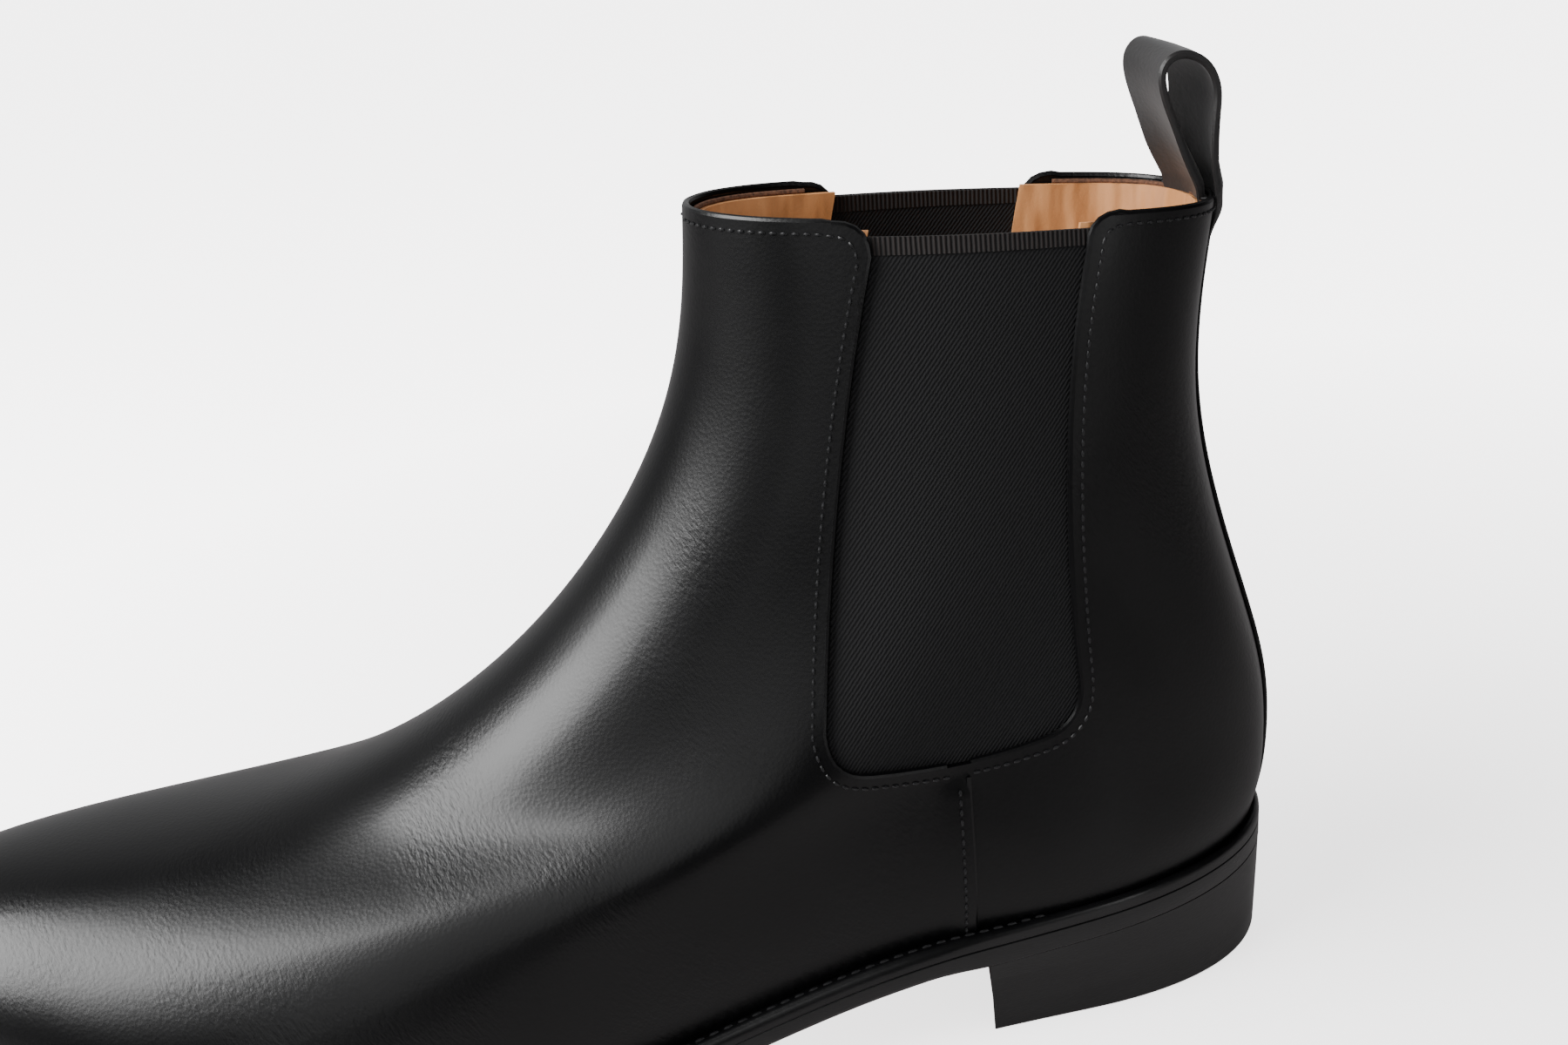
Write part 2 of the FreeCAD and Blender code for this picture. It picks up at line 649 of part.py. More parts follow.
def make_heel(wells):
    """Top piece and leather lifts; the uppermost lift is the wedge under the seat."""
    block = heel_block().cut(wells)
    base = size("top_piece_thick")
    pitch_fall = math.tan(math.radians(size("heel_pitch"))) * size("heel_length")
    step = (size("heel_height") - pitch_fall - base) / LIFTS
    add("top_piece", block.common(slab(-FAR, FAR, z_low=-10, z_high=base)))
    for i in range(LIFTS):
        low = base + step * i
        high = low + step if i < LIFTS - 1 else FAR
        add("heel_lift_%d" % (i + 1), block.common(slab(-FAR, FAR, z_low=low, z_high=high)))
    add("heel_nails", nails())


def make_bottom(wells):
    """Outsole, welt, insole with its rib, cork filler, shank and heel sock."""
    sole, gap = size("outsole_thick"), size("ply_gap")
    margin, rib = -size("margin_width"), size("rib_thick")
    outsole = layer(-size("tread_press"), sole).common(column(reach_at))
    add("outsole", outsole.cut(slab(-FAR, FAR, z_high=0.0)).cut(wells))
    add("welt", band(reach_at, margin, sole, WELT_TOP))
    add("insole_rib", band(margin - gap, margin - gap - rib, sole + gap, INSOLE_BOTTOM))
    shank_rear = -size("shank_rear_x")
    half = size("shank_width") / 2
    shank = layer(sole, sole + size("shank_thick"))
    shank = shank.common(slab(shank_rear - size("shank_length"), shank_rear, -half, half))
    add("shank", shank)
    filler = layer(sole, INSOLE_BOTTOM).common(column(margin - rib - 2 * gap))
    add("cork_filler", filler.cut(shank).cut(wells))
    inside = -INSIDE_DEPTH - 2 * gap
    add("insole", layer(INSOLE_BOTTOM, INSOLE_TOP).common(column(inside)).cut(wells))
    sock = layer(INSOLE_TOP, INSOLE_TOP + size("sock_thick")).common(column(inside - 1.0))
    front_arc = Part.makeCylinder(size("sock_length") / 2, FAR, Vector(-size("sock_length") / 2, 0, 0))
    keep = front_arc.fuse(slab(-size("sock_length") / 2, 40))
    add("heel_sock", sock.common(keep))


make_outer_leather()
make_gores()
make_stiffeners()
make_lining()
make_back_strip()
make_loop_tail()
make_pull_loop()
nail_space = nail_wells()
make_heel(nail_space)
make_bottom(nail_space)
doc.recompute()


def check(objects):
    """Stops if any object failed or any sub-part has no sound solid."""
    for item in doc.Objects:
        if "Invalid" in item.State or "Error" in item.State:
            raise RuntimeError("%s failed" % item.Name)
    for item in objects:
        if item.Shape.isNull() or not item.Shape.isValid() or not item.Shape.Solids:
            raise RuntimeError("%s has no sound shape" % item.Label)


check(nodes)
box = FreeCAD.BoundBox()
for node in nodes:
    box.add(node.Shape.optimalBoundingBox(False, False))
to_origin = Vector(-box.Center.x, -box.Center.y, 0)
os.makedirs("parts", exist_ok=True)
for node in nodes:
    node.Placement.Base = node.Placement.Base + to_origin
    node.Shape.exportStep("parts/%s.step" % node.Label)
print("moved by", to_origin)
print("loop's root", doc.getObject("pull_loop").Placement.Base)
for node in nodes:
    b = node.Shape.optimalBoundingBox(False, False)
    print("%-24s solids %d  volume %9.1f  x %.1f..%.1f  y %.1f..%.1f  z %.1f..%.1f" % (
        node.Label, len(node.Shape.Solids), node.Shape.Volume,
        b.XMin, b.XMax, b.YMin, b.YMax, b.ZMin, b.ZMax))
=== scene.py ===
"""Chelsea boot: the looks of a left, welted ankle boot with elastic side gores.

Everything is in metres in the CAD frame: +Z up, the toe towards -X, the lateral side towards -Y.
The boot's last is described in millimetres from its own rearmost point and then put in place.
"""
import json
import math

import bmesh
import bpy
from mathutils import Matrix, Vector


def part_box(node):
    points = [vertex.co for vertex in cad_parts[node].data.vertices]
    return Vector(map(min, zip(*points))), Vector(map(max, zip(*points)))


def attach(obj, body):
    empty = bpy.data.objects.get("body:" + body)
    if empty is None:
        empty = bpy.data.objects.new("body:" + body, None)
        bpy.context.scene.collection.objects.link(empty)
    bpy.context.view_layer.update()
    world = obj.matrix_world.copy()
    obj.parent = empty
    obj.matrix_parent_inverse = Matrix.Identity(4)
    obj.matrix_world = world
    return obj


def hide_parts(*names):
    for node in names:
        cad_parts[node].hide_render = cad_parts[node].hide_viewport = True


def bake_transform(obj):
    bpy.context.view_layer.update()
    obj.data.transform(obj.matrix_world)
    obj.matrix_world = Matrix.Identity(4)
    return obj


bl_info = {
    "name": "Chelsea boot",
    "version": (1, 0, 0),
    "blender": (4, 5, 0),
    "location": "View3D > Sidebar > Chelsea boot",
    "description": "Builds the looks of a left chelsea boot round its CAD frame",
    "category": "Mesh",
}

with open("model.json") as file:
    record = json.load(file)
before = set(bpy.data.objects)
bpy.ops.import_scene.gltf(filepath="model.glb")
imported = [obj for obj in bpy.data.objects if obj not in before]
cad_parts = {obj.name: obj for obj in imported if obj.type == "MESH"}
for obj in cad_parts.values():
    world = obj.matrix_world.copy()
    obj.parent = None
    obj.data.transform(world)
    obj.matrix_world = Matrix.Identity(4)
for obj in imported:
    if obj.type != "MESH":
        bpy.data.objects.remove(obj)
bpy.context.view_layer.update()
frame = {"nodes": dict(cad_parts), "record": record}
HINGE = Vector(frame["record"]["behaviour"]["joints"][0]["pos_m"])
MM = 0.001
PI = math.pi

# ---------------------------------------------------------------- sizes, in millimetres
LENGTH = 298.0
COLLAR_HEIGHT, COLLAR_DROP = 171.0, 5.0
HEEL_HEIGHT, HEEL_LENGTH, HEEL_PITCH = 23.0, 72.0, 3.0
HEEL_TAPER, BREAST_TAPER, BREAST_LEAN, BREAST_HOLLOW, BREAST_MOUTH = 2.0, 11.0, 4.0, 4.0, 34.0
TOP_PIECE, LIFTS = 6.0, 3
TOE_SPRING = 11.0
OUTSOLE, WELT = 4.6, 3.2
WELT_TOP = OUTSOLE + WELT
FORE_REACH, WAIST_REACH, SEAT_REACH = 5.5, 3.6, 1.9
WAIST_FRONT, WAIST_BLEND, SEAT_AHEAD = 130.0, 45.0, 3.0
LEATHER, WEBBING, LINING = 1.4, 1.1, 1.0
LINING_DEPTH = LEATHER + WEBBING + 0.1
SIDE_SEAM = 77.0
GORE_REAR, GORE_TOP, GORE_BOTTOM = 47.0, 41.0, 52.5
GORE_FORWARD, GORE_FOOT, GORE_CORNER = 10.0, 63.5, 9.0
GORE_BOW_FRONT, GORE_BOW_REAR, GORE_SAG, GORE_SHOULDER = 1.0, 3.0, 4.0, 2.0
GORE_DROP, LINING_DROP, GORE_MARGIN = 3.0, 1.5, 6.0
LEATHER_CORNER = 6.0  # the leather's rounded corners beside the gores, at the collar
FOLD = 0.75  # radius of the leather's folded edges
STRIP_WIDTH, STRIP_THICK = 11.0, 1.1
LOOP_WIDTH, LOOP_THICK, LOOP_EYE, LOOP_HEIGHT, LOOP_LEAN = 23.0, 1.6, 4.45, 26.0, 13.0

# ---------------------------------------------------------------- the last
RING = [0, 0.125, 0.25, 0.375, 0.5, 0.75, 1]
FRONT_X = [-297, -298, -291, -263, -210, -135, -119]
FRONT_Z = [19, 33, 46.5, 54.5, 59.5, 115.25, 171]
BACK_X = [-5, -3, -2.7, -5, -10, -19.3, -16]
BACK_Z = [33, 43, 57, 70.5, 86.5, 126.25, 166]
HALF_WIDTH = [
    [20, 38, 48, 37, 31, 31, 20.5],
    [21, 39, 49.5, 39.5, 33, 32, 21.5],
    [20, 36, 45.5, 40, 33, 30.5, 20.5],
    [16, 28.5, 38.5, 40, 33, 29.5, 20],
    [14, 25, 33.5, 38, 33, 28.5, 19],
    [12, 22.5, 29, 31.5, 29.5, 25, 15.5],
    [11.5, 20, 24.5, 26.5, 25.5, 22.5, 14.5],
]
MEDIAL = [2, 3, 0, -5, -5, -2, 0]
MEDIAL_FADE = [1, 1, 0.9, 0.6, 0.3, 0, 0]
BOTTOM_FADE = [1, 0.97, 0.85, 0.6, 0.3, 0.04, 0]
TREAD_FRONT, TREAD_BACK = 0.705, 0.62


def spline(knots, values):
    """The natural cubic spline through the values, as a function."""
    last = len(knots) - 1
    gap = [knots[i + 1] - knots[i] for i in range(last)]
    bend, carry, load = [0.0] * (last + 1), [0.0] * last, [0.0] * last
    for i in range(1, last):
        turn = (values[i + 1] - values[i]) / gap[i] - (values[i] - values[i - 1]) / gap[i - 1]
        pivot = 2 * (gap[i - 1] + gap[i]) - gap[i - 1] * carry[i - 1]
        carry[i] = gap[i] / pivot
        load[i] = (6 * turn - gap[i - 1] * load[i - 1]) / pivot
    for i in range(last - 1, 0, -1):
        bend[i] = load[i] - carry[i] * bend[i + 1]

    def at(x):
        i = 0
        while i < last - 1 and x > knots[i + 1]:
            i += 1
        before = (knots[i + 1] - x) / gap[i]
        after = 1 - before
        curved = (before**3 - before) * bend[i] + (after**3 - after) * bend[i + 1]
        return before * values[i] + after * values[i + 1] + curved * gap[i] ** 2 / 6

    return at


def ease(share):
    """A smooth step from 0 to 1."""
    share = min(1.0, max(0.0, share))
    return share * share * (3 - 2 * share)


LINE_SPLINES = [spline(RING, line) for line in (FRONT_X, FRONT_Z, BACK_X, BACK_Z)]
WIDTH_SPLINES = [spline(RING, column) for column in zip(*HALF_WIDTH)]
MEDIAL_FADES = spline(RING, MEDIAL_FADE)
BOTTOM_FADES = spline(RING, BOTTOM_FADE)
STATIONS = [PI * i / 8 for i in range(9)]
TO_FRAME = Vector((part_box("welt")[1].x / MM - BACK_X[0] - SEAT_REACH, HINGE.y / MM, 0))
ring_cache = {}


def place(point):
    """A point of the last, in millimetres, as a point of the frame in metres."""
    return (point + TO_FRAME) * MM


def underside(x):
    """Height of the outsole's underside."""
    tread_front, tread_back = -TREAD_FRONT * LENGTH, -TREAD_BACK * LENGTH
    seat_front = -HEEL_LENGTH - SEAT_AHEAD
    if x < tread_front:
        return TOE_SPRING * ((tread_front - x) / (tread_front + LENGTH)) ** 2
    seat = HEEL_HEIGHT + math.tan(math.radians(HEEL_PITCH)) * x
    return seat * ease((x - tread_back) / (seat_front - tread_back))


def ring_at(up):
    """One ring of the last: the ends of its chord and its two half-width curves."""
    if up not in ring_cache:
        mean = [line(up) for line in WIDTH_SPLINES]
        bend = [MEDIAL_FADES(up) * amount for amount in MEDIAL]
        medial = spline(STATIONS, [0] + [w + b for w, b in zip(mean, bend)] + [0])
        lateral = spline(STATIONS, [0] + [w - b for w, b in zip(mean, bend)] + [0])
        ring_cache[up] = [line(up) for line in LINE_SPLINES] + [lateral, medial]
    return ring_cache[up]


def last_point(up, turn):
    """A point of the upper's outer face: `up` from the feather line (0) to the collar (1),
    `turn` from the front (0) along the lateral side to the back (pi) and on."""
    front_x, front_z, back_x, back_z, lateral, medial = ring_at(up)
    turn = turn % (2 * PI)
    share = (1 - math.cos(turn)) / 2
    bottom_x = FRONT_X[0] + (BACK_X[0] - FRONT_X[0]) * share
    bottom_z = FRONT_Z[0] + (BACK_Z[0] - FRONT_Z[0]) * share
    camber = underside(bottom_x) + WELT_TOP - bottom_z
    x = front_x + (back_x - front_x) * share
    z = front_z + (back_z - front_z) * share + BOTTOM_FADES(up) * camber
    y = -lateral(turn) if turn <= PI else medial(2 * PI - turn)
    return Vector((x, y, z))


def outward(up, turn):
    """The outer face's unit normal."""
    step = 0.004
    along = last_point(up, turn + step) - last_point(up, turn - step)
    upward = last_point(up + step, turn) - last_point(up - step, turn)
    return along.cross(upward).normalized()


def skin(up, turn, depth=0.0):
    """A point at some depth under the upper's outer face, in metres in the frame."""
    return place(last_point(up, turn) - outward(up, turn) * depth)


def up_at_drop(drop):
    """The ring that lies a given distance below the collar."""
    return 1 - 0.25 * drop / (last_point(1, PI / 2) - last_point(0.75, PI / 2)).length


def turn_at(up, x):
    """Where a ring's lateral side has a given x."""
    front_x, _, back_x, _, _, _ = ring_at(up)
    share = min(1.0, max(0.0, (x - front_x) / (back_x - front_x)))
    return math.acos(1 - 2 * share)


def halved(low, high, rounds, falls_short):
    """The place between two limits up to which a test holds, found by halving."""
    for _ in range(rounds):
        middle = (low + high) / 2
        if falls_short(middle):
            low = middle
        else:
            high = middle
    return middle


def on_side(x, z):
    """The (up, turn) of the lateral face at a place in side view."""
    up = halved(-0.02, 1.06, 16, lambda up: last_point(up, turn_at(up, x)).z < z)
    return up, turn_at(up, x)


def turn_at_width(up, width):
    """How far short of the back centre a ring has this half width."""
    return halved(0.0, 1.4, 20, lambda short: -last_point(up, PI - short).y < width)


# ---------------------------------------------------------------- the bottom's outline
def reach_at(x):
    """How far the welt stands out past the feather line."""
    fore = (FORE_REACH - WAIST_REACH) * ease((-x - WAIST_FRONT) / WAIST_BLEND)
    seat = (SEAT_REACH - WAIST_REACH) * ease((HEEL_LENGTH + x) / WAIST_BLEND + 0.5)
    return WAIST_REACH + fore + seat


def waist_share(x):
    """1 in the waist, where the sole's edge is rounded, and 0 in the forepart and the heel."""
    return ease((x + 205.0) / 40.0) * ease((-x - HEEL_LENGTH) / 14.0)


def rim_plan(turn):
    """A point of the feather line and its outward direction, both in plan."""
    here = last_point(0.0, turn)
    along = last_point(0.0, turn + 0.01) - last_point(0.0, turn - 0.01)
    return here, Vector((along.y, -along.x, 0)).normalized()


def rim(turn, reach, height):
    """A point past the feather line, at a height above the outsole's underside."""
    here, out = rim_plan(turn)
    point = here + out * reach
    point.z = underside(point.x) + height
    return point


# ---------------------------------------------------------------- the gore's window
def spot(x, z):
    """A place in side view, in the last's millimetres."""
    return Vector((x, 0, z))


def bow(start, control, end, steps):
    """Points of a parabola from start towards end, without its end."""
    shares = [i / steps for i in range(steps)]
    return [start * (1 - t) ** 2 + control * 2 * t * (1 - t) + end * t * t for t in shares]


def collar_z(x):
    """Height of the collar at a place in side view."""
    return COLLAR_HEIGHT - COLLAR_DROP * (x - FRONT_X[-1]) / (BACK_X[-1] - FRONT_X[-1])


def window(margin=0.0, corner_top=0.0):
    """The gore's outline in side view, down its front, round its foot and up its rear,
    grown by a margin, with the leather's corners at the collar rounded off."""
    rear = -GORE_REAR + margin
    front = -GORE_REAR - GORE_TOP - margin
    middle = (rear + front) / 2 - GORE_FORWARD
    half_low = GORE_BOTTOM / 2 + margin
    low_front, low_rear = middle - half_low, middle + half_low
    foot = GORE_FOOT - margin
    corner = GORE_CORNER + margin
    shoulder = foot + GORE_SHOULDER * corner
    half_way = (shoulder + COLLAR_HEIGHT) / 2
    round_off = max(0.01, corner_top - margin / 2)
    top_front = spot(front, collar_z(front) - max(margin, 0) * (corner_top > 0))
    top_rear = spot(rear, collar_z(rear) - max(margin, 0) * (corner_top > 0))
    fall, side = spot(0, -round_off), spot(round_off, 0)
    front_control = spot((front + low_front) / 2 - 2 * GORE_BOW_FRONT, half_way)
    rear_control = spot((rear + low_rear) / 2 - 2 * GORE_BOW_REAR, half_way)
    front_foot, rear_foot = spot(low_front, foot + GORE_SAG), spot(low_rear, foot + GORE_SAG)
    foot_in = spot(corner, -GORE_SAG * corner / half_low)
    foot_out = spot(-corner, -GORE_SAG * corner / half_low)
    rise = spot(0, corner)
    outline = bow(top_front - side, top_front, top_front + fall, 5)
    outline += bow(top_front + fall, front_control, front_foot + rise, 9)
    outline += bow(front_foot + rise, front_foot, front_foot + foot_in, 7)
    outline += bow(front_foot + foot_in, spot(middle, foot - 0.5), rear_foot + foot_out, 7)
    outline += bow(rear_foot + foot_out, rear_foot, rear_foot + rise, 7)
    outline += bow(rear_foot + rise, rear_control, top_rear + fall, 9)
    outline += bow(top_rear + fall, top_rear, top_rear + side, 5)
    return outline + [top_rear + side]


def in_window(point, ring):
    """Whether a side-view point lies in a ring, by how often the ring is crossed."""
    inside = False
    for here, there in zip(ring, ring[1:] + ring[:1]):
        if (here.z > point.z) != (there.z > point.z):
            share = (point.z - here.z) / (there.z - here.z)
            if point.x < here.x + share * (there.x - here.x):
                inside = not inside
    return inside


# ---------------------------------------------------------------- mesh tools
def lofted(columns, merge=True):
    """A mesh through columns of points in metres; closed runs repeat their first point."""
    mesh = bmesh.new()
    across, along = len(columns) - 1, len(columns[0]) - 1
    bmesh.ops.create_grid(mesh, x_segments=across, y_segments=along, size=0.5)
    for vertex in mesh.verts:
        i = round((vertex.co.x + 0.5) * across)
        j = round((vertex.co.y + 0.5) * along)
        vertex.co = columns[i][j]
    if merge:
        bmesh.ops.remove_doubles(mesh, verts=mesh.verts[:], dist=2e-6)
    return mesh


def closed(mesh):
    """Closes any open ends and turns every face outwards."""
    rims = [edge for edge in mesh.edges if edge.is_boundary]
    if rims:
        bmesh.ops.holes_fill(mesh, edges=rims, sides=0)
    bmesh.ops.recalc_face_normals(mesh, faces=mesh.faces[:])
    return mesh


def skin_sheet(turns, rings, cells, depth=0.0, puff=None):
    """A single skin of the upper between two turns and two rings."""
    grid = []
    for i in range(cells[0] + 1):
        turn = turns[0] + (turns[1] - turns[0]) * i / cells[0]
        ups = [rings[0] + (rings[1] - rings[0]) * j / cells[1] for j in range(cells[1] + 1)]
        grid.append([skin(up, turn, depth - (puff(up, turn) if puff else 0.0)) for up in ups])
    return lofted(grid, merge=False)


def side_view(face):
    """The middle of a face in side view, in the last's millimetres."""
    middle = face.calc_center_median() / MM - TO_FRAME
    return spot(middle.x, middle.z)


def cut_along(mesh, chain, near=3.0):
    """Cuts a skin across the boot along a chain of side-view points."""
    for here, there in zip(chain, chain[1:]):
        step = there - here
        middle, reach = (here + there) / 2, step.length / 2 + near
        faces = [face for face in mesh.faces if (side_view(face) - middle).length < reach]
        edges = {edge for face in faces for edge in face.edges}
        verts = {vertex for face in faces for vertex in face.verts}
        bmesh.ops.bisect_plane(
            mesh, geom=faces + list(edges) + list(verts), dist=1e-7,
            plane_co=place(here), plane_no=spot(-step.z, step.x).normalized(),
        )


def cut_window(mesh, margin=0.0, corner_top=0.0, keep=False):
    """Opens the gore's window in a skin, or keeps only what lies in it."""
    outline = window(margin, corner_top)
    above = spot(0, 12)
    chain = [outline[0] + above] + outline + [outline[-1] + above]
    cut_along(mesh, chain)
    gone = [face for face in mesh.faces if in_window(side_view(face), chain) != keep]
    bmesh.ops.delete(mesh, geom=gone, context="FACES")


def trim(mesh, x, side):
    """Cuts a skin off at a plane across the boot; side +1 removes what is behind it."""
    geometry = mesh.verts[:] + mesh.edges[:] + mesh.faces[:]
    bmesh.ops.bisect_plane(
        mesh, geom=geometry, plane_co=place(spot(x, 0)), plane_no=(side, 0, 0),
        clear_outer=True, dist=1e-7,
    )


def thicken(mesh, thick):
    """Gives a skin its thickness, inwards."""
    outer = mesh.faces[:]
    rims = [edge for edge in mesh.edges if edge.is_boundary]
    mesh.normal_update()
    normals = {vertex: vertex.normal.copy() for vertex in mesh.verts}
    copy = bmesh.ops.duplicate(mesh, geom=outer + mesh.edges[:] + mesh.verts[:])
    for old, new in copy["vert_map"].items():
        if old in normals:
            new.co = old.co - normals[old] * thick * MM
    inner = [item for item in copy["geom"] if isinstance(item, bmesh.types.BMFace)]
    bmesh.ops.reverse_faces(mesh, faces=inner)
    pair = copy["edge_map"]
    bmesh.ops.bridge_loops(mesh, edges=rims + [pair[edge] for edge in rims])


def join(mesh, other):
    """Adds another mesh to this one."""
    held = bpy.data.meshes.new("held")
    other.to_mesh(held)
    other.free()
    mesh.from_mesh(held)
    bpy.data.meshes.remove(held)


def path_frames(path, depth=0.0):
    """Position, outward and sideways directions along a path of (up, turn) pairs."""
    spots = [skin(up, turn, depth) for up, turn in path]
    frames = []
    for i, (up, turn) in enumerate(path):
        ahead = (spots[min(i + 1, len(path) - 1)] - spots[max(i - 1, 0)]).normalized()
        out = outward(up, turn)
        frames.append((spots[i], out, ahead.cross(out).normalized(), ahead))
    return frames


def bead(mesh, path, radius, depth, sides=8):
    """Adds a round folded edge along a path."""
    angles = [2 * PI * k / sides for k in range(sides + 1)]
    columns = []
    for middle, out, side, _ in path_frames(path, depth):
        ring = [out * math.cos(a) + side * math.sin(a) for a in angles]
        columns.append([middle + direction * radius * MM for direction in ring])
    join(mesh, closed(lofted(columns)))


def even_places(frames, pitch):
    """Frames evenly spaced along a path of frames."""
    travelled, due, places = 0.0, pitch / 2, []
    for here, there in zip(frames, frames[1:]):
        step = (there[0] - here[0]).length / MM
        while due < travelled + step:
            share = (due - travelled) / step
            blend = [a.lerp(b, share) for a, b in zip(here, there)]
            places.append([blend[0]] + [v.normalized() for v in blend[1:]])
            due += pitch
        travelled += step
    return places


def stitches(mesh, frames, pitch, length, width):
    """Adds a row of stitches, each a small rounded bar of thread."""
    for middle, out, side, ahead in even_places(frames, pitch):
        turn = Matrix((ahead, side, out)).transposed().to_4x4()
        scale = Matrix.Diagonal((length * MM, width * MM, width * MM, 1))
        spot_matrix = Matrix.Translation(middle) @ turn @ scale
        bmesh.ops.create_uvsphere(
            mesh, u_segments=6, v_segments=4, radius=0.5, matrix=spot_matrix
        )


def mirrored(path):
    """The same path on the medial side."""
    return [(up, -turn) for up, turn in path]


def both(path):
    """A path and its copy on the medial side."""
    return path, mirrored(path)


def window_path(margin, corner_top, first, last):
    """Part of the window's outline as (up, turn) pairs, from the front (0) to the rear (1)."""
    outline = window(margin, corner_top)
    count = len(outline) - 1
    return [on_side(p.x, p.z) for p in outline[round(first * count):round(last * count) + 1]]


def run_of(path, side, x):
    """The part of a path in front of (1) or behind (-1) a place in side view."""
    return [(up, turn) for up, turn in path if last_point(up, turn).x * side < x * side]


def shown(mesh, name, materials):
    """An object of the scene, made from a mesh."""
    data = bpy.data.meshes.new(name)
    mesh.to_mesh(data)
    mesh.free()
    for material in materials:
        data.materials.append(material)
    item = bpy.data.objects.new(name, data)
    bpy.context.scene.collection.objects.link(item)
    return item


def finished(mesh, name, finishes, replaced=(), body="boot", sharp=40.0):
    """Makes a piece of the boot from a mesh and ties it to the frame."""
    for edge in mesh.edges:
        angle = edge.calc_face_angle(None)
        edge.smooth = angle is None or angle < math.radians(sharp)
    for face in mesh.faces:
        face.smooth = True
    piece = shown(mesh, name, [stock(finish) for finish in finishes])
    if body:
        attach(piece, body)
    if replaced:
        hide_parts(*replaced)
    return piece


# ---------------------------------------------------------------- materials
def linear(code):
    """An sRGB hex colour as linear red, green, blue and alpha."""
    channels = [int(code[i:i + 2], 16) / 255 for i in (1, 3, 5)]
    bent = [c / 12.92 if c <= 0.04045 else ((c + 0.055) / 1.055) ** 2.4 for c in channels]
    return (*bent, 1.0)


def add(tree, kind, inputs=None, **settings):
    """Adds a node; an input is given a value or another node's output."""
    node = tree.nodes.new(kind)
    for name, value in settings.items():
        setattr(node, name, value)
    for name, value in (inputs or {}).items():
        if isinstance(value, bpy.types.NodeSocket):
            tree.links.new(value, node.inputs[name])
        else:
            node.inputs[name].default_value = value
    return node


def new_material(name, **values):
    """A material with its shader's plain values set; returns it, its tree and its shader."""
    material = bpy.data.materials.new(name)
    material.use_nodes = True
    shader = material.node_tree.nodes["Principled BSDF"]
    for socket, value in values.items():
        shader.inputs[socket.replace("_", " ")].default_value = value
    return material, material.node_tree, shader


def wire(tree, shader, **outputs):
    """Links outputs to the shader's inputs, named with underscores."""
    for socket, output in outputs.items():
        tree.links.new(output, shader.inputs[socket.replace("_", " ")])


EVEN = (1, 1, 1)


def place_on(tree, stretch=EVEN, turned=(0, 0, 0)):
    """Object coordinates, turned and then stretched."""
    where = add(tree, "ShaderNodeTexCoord").outputs["Object"]
    turned = add(tree, "ShaderNodeMapping", {"Vector": where, "Rotation": turned})
    return add(tree, "ShaderNodeMapping", {"Vector": turned.outputs[0], "Scale": stretch}).outputs[0]


def noise(tree, size_mm, stretch=EVEN, turned=(0, 0, 0), detail=3.0):
    """A noise whose features have a real size."""
    where = place_on(tree, stretch, turned)
    settings = {"Vector": where, "Scale": 1 / (size_mm * MM), "Detail": detail}
    return add(tree, "ShaderNodeTexNoise", settings).outputs["Fac"]


def between(tree, factor, low, high, from_low=0.0, from_high=1.0):
    """A factor mapped to a range of numbers."""
    settings = {"Value": factor, "From Min": from_low, "From Max": from_high}
    settings.update({"To Min": low, "To Max": high})
    return add(tree, "ShaderNodeMapRange", settings).outputs[0]


def two_colours(tree, factor, one, other):
    """A mix of two colours by a factor."""
    ramp = add(tree, "ShaderNodeValToRGB", {"Fac": factor})
    ramp.color_ramp.elements[0].color = linear(one)
    ramp.color_ramp.elements[1].color = linear(other)
    ramp.color_ramp.elements[0].position = 0.3
    ramp.color_ramp.elements[1].position = 0.7
    return ramp.outputs["Color"]


def bump(tree, height, depth_mm, before=None, strength=1.0):
    """A relief of a real depth, on top of another one."""
    inputs = {"Height": height, "Distance": depth_mm * MM, "Strength": strength}
    if before:
        inputs["Normal"] = before
    return add(tree, "ShaderNodeBump", inputs).outputs["Normal"]


def math_node(tree, operation, one, other=0.0):
    """Arithmetic on two numbers or sockets."""
    return add(tree, "ShaderNodeMath", {0: one, 1: other}, operation=operation).outputs[0]


def times(tree, one, other):
    """The product of two numbers or sockets."""
    return math_node(tree, "MULTIPLY", one, other)


def polished_calf():
    """Box calf, chrome tanned, aniline dyed and wax polished: a tight fine grain under a
    clear wax film, so broad soft highlights break up into fine specks and creases."""
    material, tree, shader = new_material(
        "polished_box_calf", Coat_Weight=0.12, Coat_Roughness=0.16, Coat_IOR=1.4, IOR=1.4
    )
    cloud = noise(tree, 28.0)
    pores = add(tree, "ShaderNodeTexVoronoi", {"Vector": place_on(tree), "Scale": 1 / (0.75 * MM)})
    relief = bump(tree, pores.outputs["Distance"], 0.018)
    wander = noise(tree, 1.5, stretch=(2.4, 1, 0.8), turned=(0, 0.6, 0), detail=5.0)
    where_creased = between(tree, noise(tree, 34.0, detail=1.0), 0.0, 1.0, 0.48, 0.66)
    creases = times(tree, wander, where_creased)
    wire(
        tree, shader, Base_Color=two_colours(tree, cloud, "#020203", "#050506"),
        Roughness=between(tree, cloud, 0.3, 0.4), Normal=bump(tree, creases, 0.14, relief),
    )
    return material


def clouded(name, colours, cloud, rough, grain, **values):
    """A stock whose colour and gloss drift together over its clouds, and its grain's relief:
    clouds have a size and a stretch, the grain a size, a stretch, a detail and a depth."""
    material, tree, shader = new_material(name, **values)
    drift = noise(tree, *cloud)
    size, stretch, detail, depth = grain
    wire(
        tree, shader, Base_Color=two_colours(tree, drift, *colours),
        Roughness=between(tree, drift, *rough),
        Normal=bump(tree, noise(tree, size, stretch, detail=detail), depth),
    )
    return material


